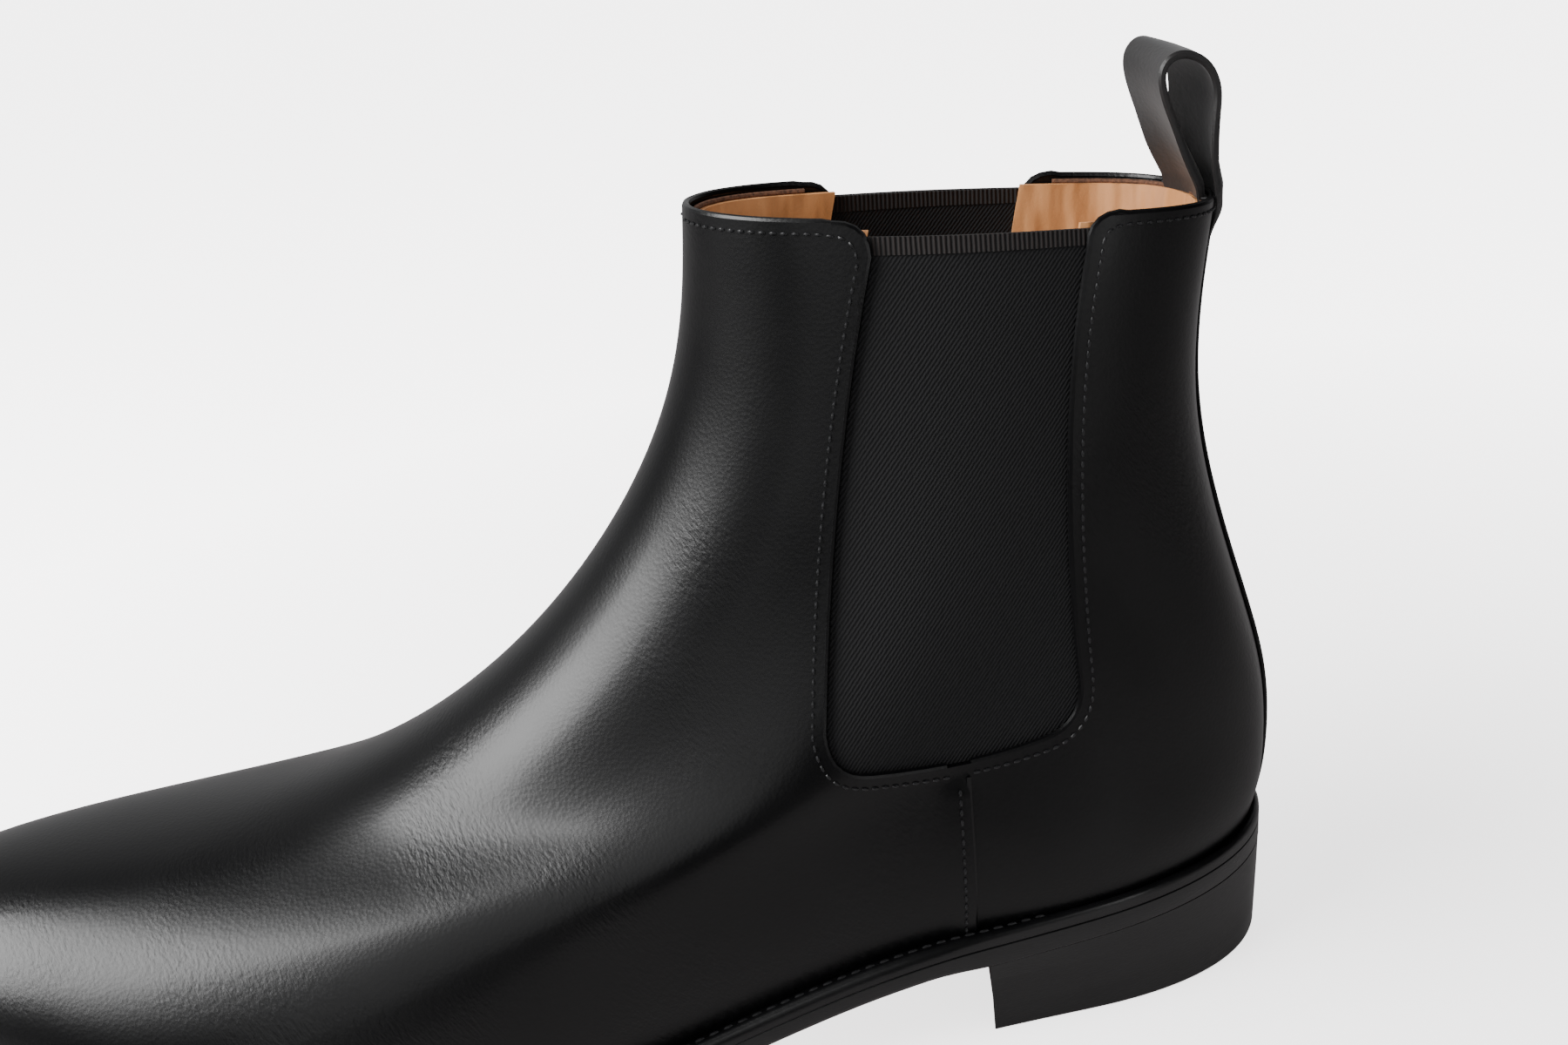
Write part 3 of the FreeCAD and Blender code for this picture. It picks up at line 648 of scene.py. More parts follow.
def strap_calf():
    """Calf strapping with a satin finish, dyed through: a soft grey sheen on its bends."""
    return clouded(
        "satin_calf_strap", ("#0b0b0c", "#171414"), (9.0, (1, 0.4, 1)), (0.4, 0.55),
        (0.8, (1, 0.5, 1), 5.0, 0.08), IOR=1.5, Sheen_Weight=0.1,
    )


TWILL_PITCH = 0.7  # millimetres between the twill's ribs


def elastic_twill():
    """Elastic webbing, twill-woven in cotton over rubber: fine matt ribs that rise to the rear."""
    material, tree, shader = new_material(
        "elastic_twill_webbing", Roughness=0.85, IOR=1.4, Sheen_Weight=0.04, Sheen_Roughness=0.4
    )
    where = place_on(tree, turned=(0, math.radians(52), 0))
    ribs = add(tree, "ShaderNodeTexWave", {
        "Vector": where, "Scale": 1 / (TWILL_PITCH * MM) * PI / 10, "Distortion": 1.2,
        "Detail": 1.0, "Detail Scale": 3.0,
    }, bands_direction="Z").outputs["Fac"]
    fuzz = noise(tree, 0.35, detail=4.0)
    weave = math_node(tree, "ADD", ribs, times(tree, fuzz, 0.7))
    shade = two_colours(tree, times(tree, weave, 0.6), "#050506", "#101012")
    wire(tree, shader, Base_Color=shade, Normal=bump(tree, weave, 0.11))
    return material


def woven_edge():
    """The webbing's selvedge: upright ribs, with the brown rubber showing at its cut top."""
    material, tree, shader = new_material("webbing_selvedge", Roughness=0.8, IOR=1.45)
    where = place_on(tree)
    ribs = add(tree, "ShaderNodeTexWave", {
        "Vector": where, "Scale": 1 / (0.9 * MM) * PI / 10, "Distortion": 0.6,
    }, bands_direction="X").outputs["Fac"]
    shade = two_colours(tree, ribs, "#0a0808", "#1d1614")
    wire(tree, shader, Base_Color=shade, Normal=bump(tree, ribs, 0.25))
    return material


def lining_calf():
    """Undyed calf lining, finished without wax: warm tan, soft and a little wrinkled."""
    material, tree, shader = new_material("lining_calf", IOR=1.45)
    cloud = noise(tree, 12.0, stretch=(1, 1, 0.5))
    wrinkles = noise(tree, 6.5, stretch=(1, 1, 0.28), detail=1.5)
    grain = noise(tree, 0.6, detail=3.0)
    wire(
        tree, shader, Base_Color=two_colours(tree, cloud, "#b07645", "#cb8f5c"),
        Roughness=between(tree, cloud, 0.52, 0.7),
        Normal=bump(tree, grain, 0.05, bump(tree, wrinkles, 3.6)),
    )
    return material


def raw_edge():
    """A cut leather edge, left brown: fibrous and matt."""
    material, tree, shader = new_material("raw_leather_edge", Roughness=0.85, IOR=1.45)
    fibre = noise(tree, 0.7, detail=5.0)
    shade = two_colours(tree, fibre, "#3a2417", "#6b4630")
    wire(tree, shader, Base_Color=shade, Normal=bump(tree, fibre, 0.2))
    return material


def inked_edge():
    """Stacked leather, sanded, inked and hot waxed: nearly black, with a soft even polish."""
    return clouded(
        "inked_edge", ("#040405", "#0a0a0b"), (14.0, (1, 1, 3)), (0.24, 0.36),
        (1.4, (1, 1, 4), 4.0, 0.035), IOR=1.5, Coat_Weight=0.25, Coat_Roughness=0.25,
    )


def sole_leather():
    """Oak-bark tanned sole leather, stained red-brown and waxed: smooth with faint scuffs."""
    return clouded(
        "stained_sole_leather", ("#6d2f20", "#8a4330"), (11.0, (0.4, 1, 1)), (0.35, 0.5),
        (0.9, EVEN, 5.0, 0.05), IOR=1.5,
    )


def waxed_thread():
    """Waxed linen thread, dyed black: a tight twist with small glints."""
    material, tree, shader = new_material("waxed_linen_thread", Roughness=0.38, IOR=1.5)
    twist = noise(tree, 0.5, stretch=(1, 1, 1.6), detail=2.0)
    wire(tree, shader, Base_Color=two_colours(tree, twist, "#0c0c0d", "#1c1c1e"))
    return material


def plain_stock(name, light, dark, rough, size_mm, metallic=0.0):
    """A hidden part's stock: its colour clouded at the size of its grain."""
    material, tree, shader = new_material(name, Metallic=metallic)
    cloud = noise(tree, size_mm, detail=4.0)
    wire(
        tree, shader, Base_Color=two_colours(tree, cloud, dark, light),
        Roughness=between(tree, cloud, rough - 0.08, rough + 0.08),
        Normal=bump(tree, cloud, 0.05),
    )
    return material


MAKERS = {
    "calf": polished_calf, "strap": strap_calf, "twill": elastic_twill, "selvedge": woven_edge,
    "lining": lining_calf, "raw": raw_edge, "edge": inked_edge, "sole": sole_leather,
    "thread": waxed_thread,
}
made_stock = {}


def stock(name):
    """A finish by its short name, made once."""
    if name not in made_stock:
        made_stock[name] = MAKERS[name]()
    return made_stock[name]


# ---------------------------------------------------------------- the pieces
class BootSizes(bpy.types.PropertyGroup):
    stitch_pitch: bpy.props.FloatProperty(
        name="Stitch pitch", description="Between the upper's stitches", default=2.1 * MM,
        unit="LENGTH",
    )
    stitch_inset: bpy.props.FloatProperty(
        name="Stitch inset", description="From a folded edge to its stitches",
        default=2.0 * MM, unit="LENGTH",
    )
    welt_pitch: bpy.props.FloatProperty(
        name="Welt stitch pitch", description="Between the welt's stitches",
        default=3.0 * MM, unit="LENGTH",
    )


class BootColours(bpy.types.PropertyGroup):
    """The stage's colours."""

    floor: bpy.props.FloatVectorProperty(
        name="Floor", description="Colour of the pale floor", subtype="COLOR", size=3,
        default=linear("#f2f1f1")[:3],
    )


def sizes():
    """The sizes in millimetres: stitch pitch, stitch inset and welt stitch pitch."""
    held = bpy.context.scene.boot_sizes
    return held.stitch_pitch / MM, held.stitch_inset / MM, held.welt_pitch / MM


UPPER_STITCH, WELT_STITCH = (1.6, 0.7), (2.3, 0.7)  # length and width of a stitch's thread
BACK_SEAM = 0.002  # half of the gap between the quarters, as a turn
PROUD = 0.1  # how far the middle of the upper's thread lies above the leather
SIDE_TURN, REAR_TURN = 2.2, 1.3  # the turns at which the vamp's and the quarters' skins start
UPPER_RINGS = (-0.015, 1.0)  # from just under the welt to the collar


def sew(mesh, path, lift=0.0):
    """Adds a row of the upper's stitches along a path, lifted off the leather."""
    stitches(mesh, path_frames(path, -lift - PROUD), sizes()[0], *UPPER_STITCH)


UNDERLAP = 0.5  # how far the quarters' skins run on under the vamp
LAP = 1.2  # how far the vamp laps over the quarters at the side seam
LAP_RISE = 0.7  # how far the lapped edge stands proud
LAP_FOLD = 0.5  # radius of the lapped edge's fold


def lap_puff(up, turn):
    """How far the vamp's skin is lifted where it laps the quarters, under the gores."""
    point = last_point(up, turn)
    below = ease((GORE_FOOT - 1.0 - point.z) / 4.0)
    return LAP_RISE * ease((point.x + SIDE_SEAM + 5.0) / 5.0) * below


def on_side_turns(side, first, last):
    """A span of turns on the lateral (1) or medial (-1) side, in rising order."""
    return (first, last) if side > 0 else (2 * PI - last, 2 * PI - first)


def rear_half(side):
    """The turns from the side (lateral 1, medial -1) to the back seam."""
    return on_side_turns(side, REAR_TURN, PI - BACK_SEAM)


def collar_path(first_x, last_x, drop, steps=26):
    """A path round the collar's lateral half, a distance below its edge."""
    up = up_at_drop(drop)
    first, last = turn_at(up, first_x), turn_at(up, last_x)
    return [(up, first + (last - first) * i / steps) for i in range(steps + 1)]


def vamp_runs(inset):
    """The lateral path of the vamp's free edge: collar, window's front and foot."""
    outline = window(inset, LEATHER_CORNER)
    collar = collar_path(FRONT_X[-1], outline[0].x, max(inset, 0.0))
    return collar[:-1] + run_of(window_path(inset, LEATHER_CORNER, 0, 1), 1, -SIDE_SEAM + LAP)


def quarter_runs(inset):
    """The lateral path of a quarter's free edge: window's foot and rear, then the collar."""
    path = window_path(inset, LEATHER_CORNER, 0.4, 1)
    outline = window(inset, LEATHER_CORNER)
    collar = collar_path(outline[-1].x, BACK_X[-1], max(inset, 0.0))
    return run_of(path, -1, -SIDE_SEAM) + collar[1:]


class Maker:
    """What the operators share: each builds its piece and reports that it is done."""

    def execute(self, context):
        self.build(context.scene)
        return {"FINISHED"}


class BOOT_OT_vamp(Maker, bpy.types.Operator):
    """The vamp: toe, instep and front of the shaft in one piece, lapped over the quarters"""

    bl_idname = "boot.vamp"
    bl_label = "Vamp"

    def build(self, scene):
        inset = sizes()[1]
        mesh = skin_sheet((-SIDE_TURN, SIDE_TURN), UPPER_RINGS, (270, 92), puff=lap_puff)
        trim(mesh, -SIDE_SEAM + LAP, 1)
        cut_window(mesh, 0.0, LEATHER_CORNER)
        thicken(mesh, LEATHER)
        free = vamp_runs(0.0)
        lap = [on_side(-SIDE_SEAM + LAP, z) for z in range(26, int(GORE_FOOT))]
        for path in both(free):
            bead(mesh, path, FOLD, FOLD)
        for path in both(lap):
            bead(mesh, path, LAP_FOLD, LAP_FOLD - LAP_RISE, sides=6)
        finished(mesh, "vamp_leather", ["calf"], ["vamp"])
        rows = bmesh.new()
        sewn = vamp_runs(inset)
        seam = [on_side(-SIDE_SEAM - inset + LAP, z) for z in range(27, int(GORE_FOOT) - 2)]
        for path in both(sewn):
            sew(rows, path)
        for path in both(seam):
            sew(rows, path, LAP_RISE)
        finished(rows, "vamp_stitches", ["thread"])


class BOOT_OT_quarters(Maker, bpy.types.Operator):
    """The two quarters, butted at the back seam"""

    bl_idname = "boot.quarters"
    bl_label = "Quarters"

    def build(self, scene):
        inset = sizes()[1]
        rows = bmesh.new()
        for name, side in (("quarter_lateral", 1), ("quarter_medial", -1)):
            mesh = skin_sheet(rear_half(side), UPPER_RINGS, (100, 92))
            trim(mesh, -SIDE_SEAM - UNDERLAP, -1)
            cut_window(mesh, 0.0, LEATHER_CORNER)
            thicken(mesh, LEATHER)
            free, sewn = quarter_runs(0.0), quarter_runs(inset)
            if side < 0:
                free, sewn = mirrored(free), mirrored(sewn)
            bead(mesh, free, FOLD, FOLD)
            finished(mesh, name + "_leather", ["calf"], [name])
            sew(rows, sewn)
        finished(rows, "quarter_stitches", ["thread"])


SELVEDGE = 3.0  # height of the webbing's woven top edge
GORE_TURNS = (0.75, 2.6)  # the turns between which the webbing's skin is laid before it is cut


class BOOT_OT_gores(Maker, bpy.types.Operator):
    """The elastic gores, with their woven top edges"""

    bl_idname = "boot.gores"
    bl_label = "Gores"

    def build(self, scene):
        top, band = up_at_drop(GORE_DROP), up_at_drop(GORE_DROP + SELVEDGE)
        for name, side in (("gore_lateral", 1), ("gore_medial", -1)):
            turns = on_side_turns(side, *GORE_TURNS)
            mesh = skin_sheet(turns, (0.2, top), (80, 70), depth=LEATHER + 0.05)
            cut_window(mesh, GORE_MARGIN, keep=True)
            thicken(mesh, WEBBING)
            finished(mesh, name + "_webbing", ["twill"], [name])
            first, last = turn_at(band, -GORE_REAR - GORE_TOP - 4), turn_at(band, -GORE_REAR + 4)
            turns = on_side_turns(side, first, last)
            rib = skin_sheet(turns, (band, top + 0.002), (90, 4), depth=LEATHER - 0.15)
            thicken(rib, WEBBING + 0.4)
            finished(rib, name + "_selvedge", ["selvedge"])


RAW_EDGE, RAW_DROP = 0.55, 1.1  # half thickness of the linings' raw edge, and its drop from the rim


class BOOT_OT_linings(Maker, bpy.types.Operator):
    """Vamp lining and quarter linings, in tan calf"""

    bl_idname = "boot.linings"
    bl_label = "Linings"

    def build(self, scene):
        top = up_at_drop(LINING_DROP)
        jobs = [
            ("vamp_lining", (-SIDE_TURN, SIDE_TURN), (150, 60), 1),
            ("quarter_lining_lateral", rear_half(1), (60, 60), -1),
            ("quarter_lining_medial", rear_half(-1), (60, 60), -1),
        ]
        for name, turns, cells, side in jobs:
            mesh = skin_sheet(turns, (0.04, top), cells, depth=LINING_DEPTH)
            trim(mesh, -SIDE_SEAM, side)
            cut_window(mesh, -1.0)
            thicken(mesh, LINING)
            finished(mesh, name + "_calf", ["lining"], [name])
        self.raw_edges()

    def raw_edges(self):
        """The cut edge between lining and leather, in four runs round the collar."""
        edges = bmesh.new()
        outline = window(0.0, LEATHER_CORNER)
        fore = collar_path(FRONT_X[-1], outline[0].x, RAW_DROP)
        rear = collar_path(outline[-1].x, BACK_X[-1], RAW_DROP)
        for path in (fore, mirrored(fore), rear, mirrored(rear)):
            bead(edges, path, RAW_EDGE, LINING_DEPTH - 0.3)
        finished(edges, "lining_raw_edge", ["raw"])


class BOOT_OT_back_strip(Maker, bpy.types.Operator):
    """The strip over the back seam"""

    bl_idname = "boot.back_strip"
    bl_label = "Back strip"

    def build(self, scene):
        half = STRIP_WIDTH / 2
        section = [
            (-half + 0.4, -0.3), (-half, 0.2), (-half, 0.8), (-half + 0.35, STRIP_THICK),
            (-half / 2, STRIP_THICK), (0, STRIP_THICK + 0.05), (half / 2, STRIP_THICK),
            (half - 0.35, STRIP_THICK), (half, 0.8), (half, 0.2), (half - 0.4, -0.3),
            (-half + 0.4, -0.3),
        ]
        columns = []
        for i in range(81):
            up = 0.01 + 0.99 * i / 80
            line = []
            for y, out in section:
                short = turn_at_width(up, abs(y))
                line.append(skin(up, PI + short if y > 0 else PI - short, -out))
            columns.append(line)
        mesh = closed(lofted(columns))
        finished(mesh, "back_strip_leather", ["calf"], ["back_strip"])


LOOP_TWIST, LOOP_RISE = 1.8, 1.2  # how far the strap's medial edge leans forward and up
COLLAR_HUG = 3.2  # how far the strap's edges bend forward with the collar at its root


def strap_line():
    """The strap's middle in side view, from its outer tail over the eye and down inside,
    as functions of the distance along it, and its length."""
    middle = LOOP_HEIGHT - LOOP_THICK - LOOP_EYE
    bend = LOOP_EYE + LOOP_THICK / 2
    tail = [last_point(up_at_drop(drop), PI) for drop in (13, 9, 4.5)]
    root = HINGE / MM - TO_FRAME
    proud = (STRIP_THICK - 0.35, STRIP_THICK, STRIP_THICK + LOOP_THICK / 2 - 0.2)
    rear = [(p.x - root.x + out, p.z - root.z) for p, out in zip(tail, proud)]
    rise = [(3.6, -0.5), (3.6, 3), (3.9, 8), (4.6, 14)]
    arc = [
        (bend * math.cos(a), middle + bend * math.sin(a))
        for a in (0.05, 0.6, 1.2, PI / 2, PI - 1.2, PI - 0.6, PI - 0.05)
    ]
    fall = [(-3.9, 12.5), (-1.9, 6), (-0.5, 1), (0.0, -3), (0.6, -9)]
    spots = rear + rise + arc + fall
    knots = [0.0]
    for here, there in zip(spots, spots[1:]):
        knots.append(knots[-1] + math.dist(here, there))
    return (*[spline(knots, line) for line in zip(*spots)], knots[-1])


def strap_section(wide, thick):
    """The strap's rounded section: half its width and half its thickness are given."""
    edge = min(0.5, thick)
    across = (-wide, edge - wide, -wide / 2, 0, wide / 2, wide - edge, wide)
    above = [(y, thick - edge * (abs(y) == wide)) for y in across]
    return above + [(y, -out) for y, out in reversed(above)] + above[:1]


class BOOT_OT_pull_loop(Maker, bpy.types.Operator):
    """The pull loop: one strap, sewn down outside and tucked in inside the collar"""

    bl_idname = "boot.pull_loop"
    bl_label = "Pull loop"

    def build(self, scene):
        along_x, along_z, length = strap_line()
        middle = LOOP_HEIGHT - LOOP_THICK - LOOP_EYE
        bend = LOOP_EYE + LOOP_THICK / 2
        root = HINGE / MM - TO_FRAME
        lean = math.tan(math.radians(LOOP_LEAN))
        half, steps, columns = LOOP_WIDTH / 2, 110, []
        for i in range(steps + 1):
            far = length * i / steps
            x, z = along_x(far), along_z(far)
            dx = along_x(far + 0.1) - along_x(far - 0.1)
            dz = along_z(far + 0.1) - along_z(far - 0.1)
            normal = Vector((dz, 0, -dx)).normalized()
            thick = LOOP_THICK / 2 * (0.35 + 0.65 * ease(far / 9))
            wide = half - (half - STRIP_WIDTH / 2 - 0.6) * ease((13 - far) / 9)
            wide -= 1.2 * ease((far - length + 16) / 12)
            high = ease(z / middle)
            at = Vector((x - max(z, 0) * lean, 0, z)) + root
            hug = COLLAR_HUG * (1 - 0.75 * high)
            twist = LOOP_TWIST * ease(x / bend / 2 + 0.5)
            line = []
            for y, out in strap_section(wide, thick):
                far_side = high * (y + half) / LOOP_WIDTH
                bend_in = Vector((-hug * (y / half) ** 2 - twist * far_side, y, LOOP_RISE * far_side))
                line.append(place(at + bend_in + normal * out))
            columns.append(line)
        mesh = closed(lofted(columns))
        piece = finished(
            mesh, "pull_loop_strap", ["strap"], ["pull_loop"], body=None
        )
        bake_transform(piece)


def ring_columns(section, count=260):
    """Columns of points round the whole bottom, from a section worked out at each turn."""
    columns = []
    for i in range(count):
        turn = 2 * PI * i / count
        columns.append([place(rim(turn, reach, height)) for reach, height in section(turn)])
    return columns + [columns[0]]


def welt_section(turn):
    """The welt's outline in section, from inside under the upper round its edge."""
    reach = reach_at(rim_plan(turn)[0].x)
    soft = 0.25 + 0.5 * waist_share(rim_plan(turn)[0].x)
    return [
        (-3.0, OUTSOLE), (reach - 0.25, OUTSOLE), (reach, OUTSOLE + 0.25),
        (reach, WELT_TOP - 1.2 - soft), (reach - soft * 0.35, WELT_TOP - 0.6 - soft * 0.5),
        (reach - soft - 0.3, WELT_TOP - 0.12), (reach - soft - 0.8, WELT_TOP),
        (0.7, WELT_TOP), (0.25, WELT_TOP - 0.35), (-3.0, WELT_TOP - 0.4), (-3.0, OUTSOLE),
    ]


WELT_SEWN = 2.25  # how far round from the toe, as a turn, the welt's stitches run on each side
WELT_STITCH_INSET, WAIST_INSET = 1.7, 0.5  # the stitches from the edge, and further in the waist


class BOOT_OT_welt(Maker, bpy.types.Operator):
    """The welt and the row of stitches that holds it to the outsole"""

    bl_idname = "boot.welt"
    bl_label = "Welt"

    def build(self, scene):
        pitch = sizes()[2]
        mesh = lofted(ring_columns(welt_section))
        bmesh.ops.recalc_face_normals(mesh, faces=mesh.faces[:])
        finished(mesh, "welt_leather", ["edge"], ["welt"])
        rows = bmesh.new()
        frames, count = [], 400
        first = 2 * PI - WELT_SEWN
        for i in range(count + 1):
            turn = first + 2 * WELT_SEWN * i / count
            here, out = rim_plan(turn)
            inset = WELT_STITCH_INSET + WAIST_INSET * waist_share(here.x)
            reach = reach_at(here.x) - inset
            spots = [place(rim(t, reach, WELT_TOP + 0.05)) for t in (turn, turn + 0.01)]
            ahead = (spots[1] - spots[0]).normalized()
            up = ahead.cross(out)
            up = up if up.z > 0 else -up
            frames.append((spots[0], up.normalized(), ahead.cross(up).normalized(), ahead))
        stitches(rows, frames, pitch, *WELT_STITCH)
        finished(rows, "welt_stitches", ["thread"])


def outsole_columns(count=260):
    """Columns round the outsole: its edge in section, then its underside to the middle."""
    columns = []
    for i in range(count):
        turn = 2 * PI * i / count
        here, _ = rim_plan(turn)
        reach = reach_at(here.x)
        soft = 0.5 + 1.3 * waist_share(here.x)
        edge = [
            (-3.0, OUTSOLE), (reach - 0.2, OUTSOLE), (reach, OUTSOLE - 0.2),
            (reach, soft * 1.1), (reach - soft * 0.3, soft * 0.45), (reach - soft * 0.75, soft * 0.1),
            (reach - soft * 1.3, 0.0),
        ]
        line = [rim(turn, out, height) for out, height in edge]
        other = rim(2 * PI - turn, reach - soft * 1.3, 0.0)
        middle = (line[-1] + other) / 2
        for share in (0.15, 0.35, 0.6, 0.8, 1.0):
            point = line[-1].lerp(middle, share)
            line.append(Vector((point.x, point.y, underside(point.x))))
        columns.append([place(point) for point in line])
    return columns + [columns[0]]


class BOOT_OT_outsole(Maker, bpy.types.Operator):
    """The leather outsole: inked edge, stained underside"""

    bl_idname = "boot.outsole"
    bl_label = "Outsole"

    def build(self, scene):
        mesh = lofted(outsole_columns())
        bmesh.ops.recalc_face_normals(mesh, faces=mesh.faces[:])
        for face in mesh.faces:
            face.material_index = 1 if face.normal.z < -0.9 else 0
        finished(mesh, "outsole_leather", ["edge", "sole"], ["outsole"])


def heel_reach(x, level):
    """The heel wall's reach past the feather line at a level above the ground."""
    share = ease(-x / HEEL_LENGTH)
    taper = HEEL_TAPER + (BREAST_TAPER - HEEL_TAPER) * share
    return reach_at(x) - math.tan(math.radians(taper)) * (HEEL_HEIGHT - level)


def heel_loop(level, inset=0.0, seated=False, count=90):
    """The heel's outline at a level, wall and hollow breast, inset by a distance."""
    breast = -HEEL_LENGTH - math.tan(math.radians(BREAST_LEAN)) * level + inset
    start = turn_at(0.0, breast)
    for _ in range(12):
        here, out = rim_plan(start)
        start = turn_at(0.0, breast - out.x * heel_reach(here.x, level))
    loop = []
    for i in range(count + 1):
        turn = start + (2 * PI - 2 * start) * i / count
        here, out = rim_plan(turn)
        point = here + out * (heel_reach(here.x, level) - inset)
        loop.append(Vector((max(point.x, breast), point.y, level)))
    first, last = loop[-1], loop[0]
    for i in range(1, 17):
        y = first.y + (last.y - first.y) * i / 17
        hollow = BREAST_HOLLOW * max(0.0, 1 - (y / BREAST_MOUTH) ** 2)
        loop.append(Vector((breast + hollow * (1 - inset / 4), y, level)))
    for point in loop:
        if seated:
            point.z = underside(point.x)
    return [place(point) for point in loop + loop[:1]]


class BOOT_OT_heel(Maker, bpy.types.Operator):
    """The stacked heel: leather lifts on a rubber top piece, all shown in the inked edge finish"""

    bl_idname = "boot.heel"
    bl_label = "Heel"

    def build(self, scene):
        fall = math.tan(math.radians(HEEL_PITCH)) * HEEL_LENGTH
        step = (HEEL_HEIGHT - fall - TOP_PIECE) / LIFTS
        corner = [(0.0, 0.7), (0.12, 0.35), (0.4, 0.1), (0.8, 0.0)]
        loops = [heel_loop(level, inset) for level, inset in corner] + [heel_loop(TOP_PIECE)]
        self.lift("top_piece", "heel_rubber", loops)
        for i in range(LIFTS):
            low = TOP_PIECE + step * i
            top = heel_loop(low + step) if i < LIFTS - 1 else heel_loop(HEEL_HEIGHT - 2, seated=True)
            self.lift("heel_lift_%d" % (i + 1), "heel_leather", [heel_loop(low), top])

    def lift(self, name, slot, loops):
        """One layer of the heel, from its loops."""
        mesh = closed(lofted([list(column) for column in zip(*loops)]))
        finished(mesh, name + "_stack", ["edge"], [name], sharp=60.0)


class BOOT_OT_inside(Maker, bpy.types.Operator):
    """Finishes for the pieces inside the boot"""

    bl_idname = "boot.inside"
    bl_label = "Inner pieces"

    def build(self, scene):
        board = plain_stock("pressed_leather_board", "#9c7b58", "#7d5f42", 0.8, 1.2)
        finishes = {
            "insole": plain_stock("vegetable_tanned_insole", "#c39a6b", "#a98052", 0.65, 6.0),
            "heel_sock": stock("lining"),
            "toe_puff": board,
            "heel_counter": board,
            "insole_rib": plain_stock("canvas_rib", "#cfc4a8", "#b3a686", 0.85, 0.8),
            "cork_filler": plain_stock("cork_and_resin", "#a3703f", "#6b4526", 0.85, 1.8),
            "shank": plain_stock("spring_steel", "#9a9a9c", "#7c7c7f", 0.35, 3.0, 1.0),
            "heel_nails": plain_stock("nail_steel", "#a5a5a5", "#858587", 0.4, 1.5, 1.0),
            "loop_tail": stock("strap"),
        }
        for name, material in finishes.items():
            data = frame["nodes"][name].data
            data.materials.clear()
            data.materials.append(material)


# ---------------------------------------------------------------- camera and stage
BACKDROP = 7.0  # radiance of the paper backdrop, as the camera sees it
FLOOR_GLOW = 4.6  # the floor's glow as the camera alone sees it, before the painted shadow of the boot dims it
PAINTED_SHADE_CENTRE, PAINTED_SHADE_DEPTH = (0.19, 0.0, 0.0), (0.42, 1.0)  # the boot's soft shadow, painted on the floor's glow: its centre, and the glow's share from the centre outwards
GLOSS_WORLD = (0.018, 0.55)  # what the leather reflects towards the camera's side and away from it
SENSOR_WIDTH = 36.0  # millimetres
CAMERA_LENS, CAMERA_SHIFT = 38.0, (-0.0859, -0.0142)
CAMERA_YAW, CAMERA_PITCH, CAMERA_ROLL = 9.8, 20.2, -2.9
CAMERA_DISTANCE, CAMERA_TARGET = 339.2, Vector((-76.8, 0, 107.2))


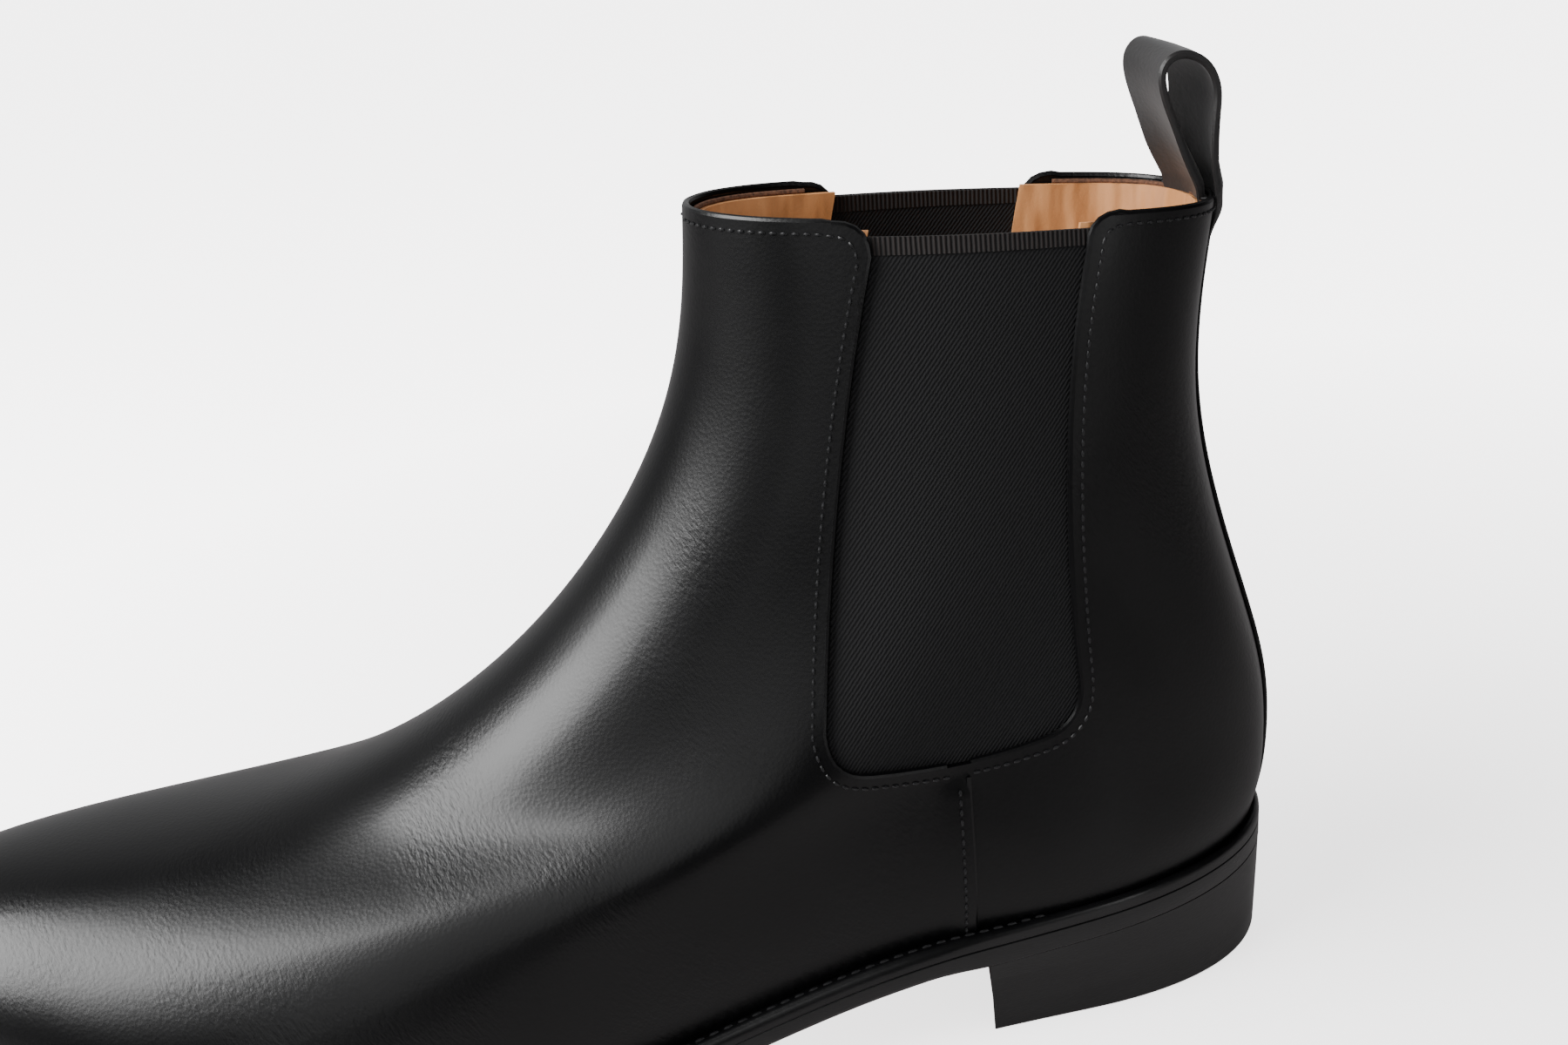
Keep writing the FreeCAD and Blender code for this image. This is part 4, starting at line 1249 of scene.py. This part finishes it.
class BOOT_OT_stage(Maker, bpy.types.Operator):
    """Camera, pale floor and soft studio light"""

    bl_idname = "boot.stage"
    bl_label = "Stage"

    def build(self, scene):
        self.camera(scene)
        self.floor(scene)
        self.black_card()
        self.light("key_softbox", (-0.92, -0.26, 0.80), (0.75, 0.75), 30.0)
        self.light("fill_softbox", (-0.35, -1.0, 0.55), (0.5, 0.9), 1.6)
        self.light("heel_strip", (0.55, -0.75, 0.30), (0.06, 0.5), 0.5)
        self.world(scene)

    def world(self, scene):
        """A pale studio: white to the camera and the floor, dark in the leather's gloss
        except for the white wall behind the boot."""
        world = bpy.data.worlds.new("studio")
        world.use_nodes = True
        scene.world = world
        tree = world.node_tree
        ray = add(tree, "ShaderNodeLightPath").outputs
        heading = add(tree, "ShaderNodeTexCoord").outputs["Generated"]
        back = add(tree, "ShaderNodeSeparateXYZ", {"Vector": heading}).outputs["Y"]
        gloss = between(tree, back, *GLOSS_WORLD, 0.35, 0.9)
        gloss = times(tree, gloss, ray["Is Glossy Ray"])
        seen = times(tree, ray["Is Camera Ray"], BACKDROP)
        soft = times(tree, ray["Is Diffuse Ray"], 0.9)
        background = tree.nodes["Background"]
        background.inputs["Color"].default_value = linear("#fbfbfc")
        total = math_node(tree, "ADD", math_node(tree, "ADD", seen, soft), gloss)
        tree.links.new(total, background.inputs["Strength"])

    def black_card(self):
        """A black card on the floor in front of the boot, seen only in the leather's gloss."""
        mesh = bmesh.new()
        corners = [(-1.4, -0.19), (0.3, -0.19), (0.3, -1.6), (-1.4, -1.6)]
        mesh.faces.new([mesh.verts.new((x, y, 0.001)) for x, y in corners])
        colour = linear("#1c1c1c")
        material, _, _ = new_material("black_card_stock", Roughness=0.9, Base_Color=colour)
        card = shown(mesh, "black_card", [material])
        card.visible_camera = card.visible_diffuse = card.visible_shadow = False

    def camera(self, scene):
        """The camera, level with the collar and a little above it."""
        yaw, pitch, roll = map(math.radians, (CAMERA_YAW, CAMERA_PITCH, CAMERA_ROLL))
        flat = math.cos(pitch)
        ahead = Vector((math.sin(yaw) * flat, math.cos(yaw) * flat, -math.sin(pitch)))
        right = Vector((math.cos(yaw), -math.sin(yaw), 0))
        up = right.cross(ahead)
        turned_right = right * math.cos(roll) + up * math.sin(roll)
        turned_up = up * math.cos(roll) - right * math.sin(roll)
        data = bpy.data.cameras.new("camera")
        data.lens, data.sensor_width = CAMERA_LENS, SENSOR_WIDTH
        data.shift_x, data.shift_y = CAMERA_SHIFT
        data.clip_start, data.clip_end = 0.01, 50.0
        camera = bpy.data.objects.new("camera", data)
        scene.collection.objects.link(camera)
        axes = Matrix((turned_right, turned_up, -ahead)).transposed().to_4x4()
        camera.matrix_world = Matrix.Translation(place(CAMERA_TARGET - ahead * CAMERA_DISTANCE)) @ axes
        scene.camera = camera

    def floor(self, scene):
        """A wide glossy floor that runs to the horizon. For the camera alone it glows, dimmed round a
        point behind the heel by a painted shadow of the boot.
        """
        mesh = bmesh.new()
        bmesh.ops.create_grid(mesh, x_segments=4, y_segments=4, size=9.0)
        material, tree, shader = new_material("lacquered_floor_board", IOR=1.45)
        pale = add(tree, "ShaderNodeRGB")
        pale.outputs[0].default_value = (*scene.boot_colours.floor, 1)
        rays = add(tree, "ShaderNodeLightPath").outputs
        # painted reflection: glossy rays see the floor in a darker grey than the camera and diffuse
        # rays do, so the leather reflects a dimmer floor
        dimmed = add(tree, "ShaderNodeMix", {0: rays["Is Glossy Ray"]}, data_type="RGBA")
        tree.links.new(pale.outputs[0], dimmed.inputs[6])
        dimmed.inputs[7].default_value = linear("#8f8c8c")
        tree.links.new(dimmed.outputs[2], shader.inputs["Base Color"])
        haze = noise(tree, 60.0)
        tree.links.new(between(tree, haze, 0.26, 0.32), shader.inputs["Roughness"])
        seen = rays["Is Camera Ray"]
        shader.inputs["Emission Color"].default_value = linear("#fbf9f9")
        # painted shadow of the boot: the camera's glow is dimmed near a point behind the heel
        where = add(tree, "ShaderNodeTexCoord").outputs["Object"]
        away = add(tree, "ShaderNodeVectorMath", {0: where, 1: PAINTED_SHADE_CENTRE}, operation="DISTANCE")
        shade = between(tree, away.outputs["Value"], *PAINTED_SHADE_DEPTH, 0.02, 0.5)
        glow = times(tree, times(tree, seen, FLOOR_GLOW), shade)
        tree.links.new(glow, shader.inputs["Emission Strength"])
        floor = shown(mesh, "floor", [material])

    def light(self, name, position, size, power):
        """A rectangular softbox aimed at the boot."""
        data = bpy.data.lights.new(name, "AREA")
        data.shape, data.energy = "RECTANGLE", power
        data.size, data.size_y = size
        lamp = bpy.data.objects.new(name, data)
        bpy.context.scene.collection.objects.link(lamp)
        lamp.location = position
        aim = Vector((0.02, 0, 0.09)) - Vector(position)
        lamp.rotation_mode = "QUATERNION"
        lamp.rotation_quaternion = aim.to_track_quat("-Z", "Y")


class BOOT_PT_panel(bpy.types.Panel):
    """Lists the boot's operators"""

    bl_label = "Chelsea boot"
    bl_idname = "BOOT_PT_panel"
    bl_space_type = "VIEW_3D"
    bl_region_type = "UI"
    bl_category = "Chelsea boot"

    def draw(self, context):
        column = self.layout.column()
        for group in (context.scene.boot_sizes, context.scene.boot_colours):
            for name in group.bl_rna.properties.keys()[2:]:
                column.prop(group, name)
        for operator in OPERATORS:
            column.operator(operator.bl_idname)


OPERATORS = (
    BOOT_OT_stage, BOOT_OT_vamp, BOOT_OT_quarters, BOOT_OT_gores, BOOT_OT_linings,
    BOOT_OT_back_strip, BOOT_OT_pull_loop, BOOT_OT_welt, BOOT_OT_outsole, BOOT_OT_heel,
    BOOT_OT_inside,
)
CLASSES = (BootSizes, BootColours, *OPERATORS, BOOT_PT_panel)


def register():
    """Registers the classes and the scene's settings."""
    for item in CLASSES:
        bpy.utils.register_class(item)
    bpy.types.Scene.boot_sizes = bpy.props.PointerProperty(type=BootSizes)
    bpy.types.Scene.boot_colours = bpy.props.PointerProperty(type=BootColours)


def unregister():
    """Takes the classes and settings away again."""
    del bpy.types.Scene.boot_colours
    del bpy.types.Scene.boot_sizes
    for item in reversed(CLASSES):
        bpy.utils.unregister_class(item)


def main():
    """Builds the boot and its stage."""
    register()
    bpy.ops.boot.stage()
    bpy.ops.boot.vamp()
    bpy.ops.boot.quarters()
    bpy.ops.boot.gores()
    bpy.ops.boot.linings()
    bpy.ops.boot.back_strip()
    bpy.ops.boot.pull_loop()
    bpy.ops.boot.welt()
    bpy.ops.boot.outsole()
    bpy.ops.boot.heel()
    bpy.ops.boot.inside()


if __name__ == "__main__":
    main()
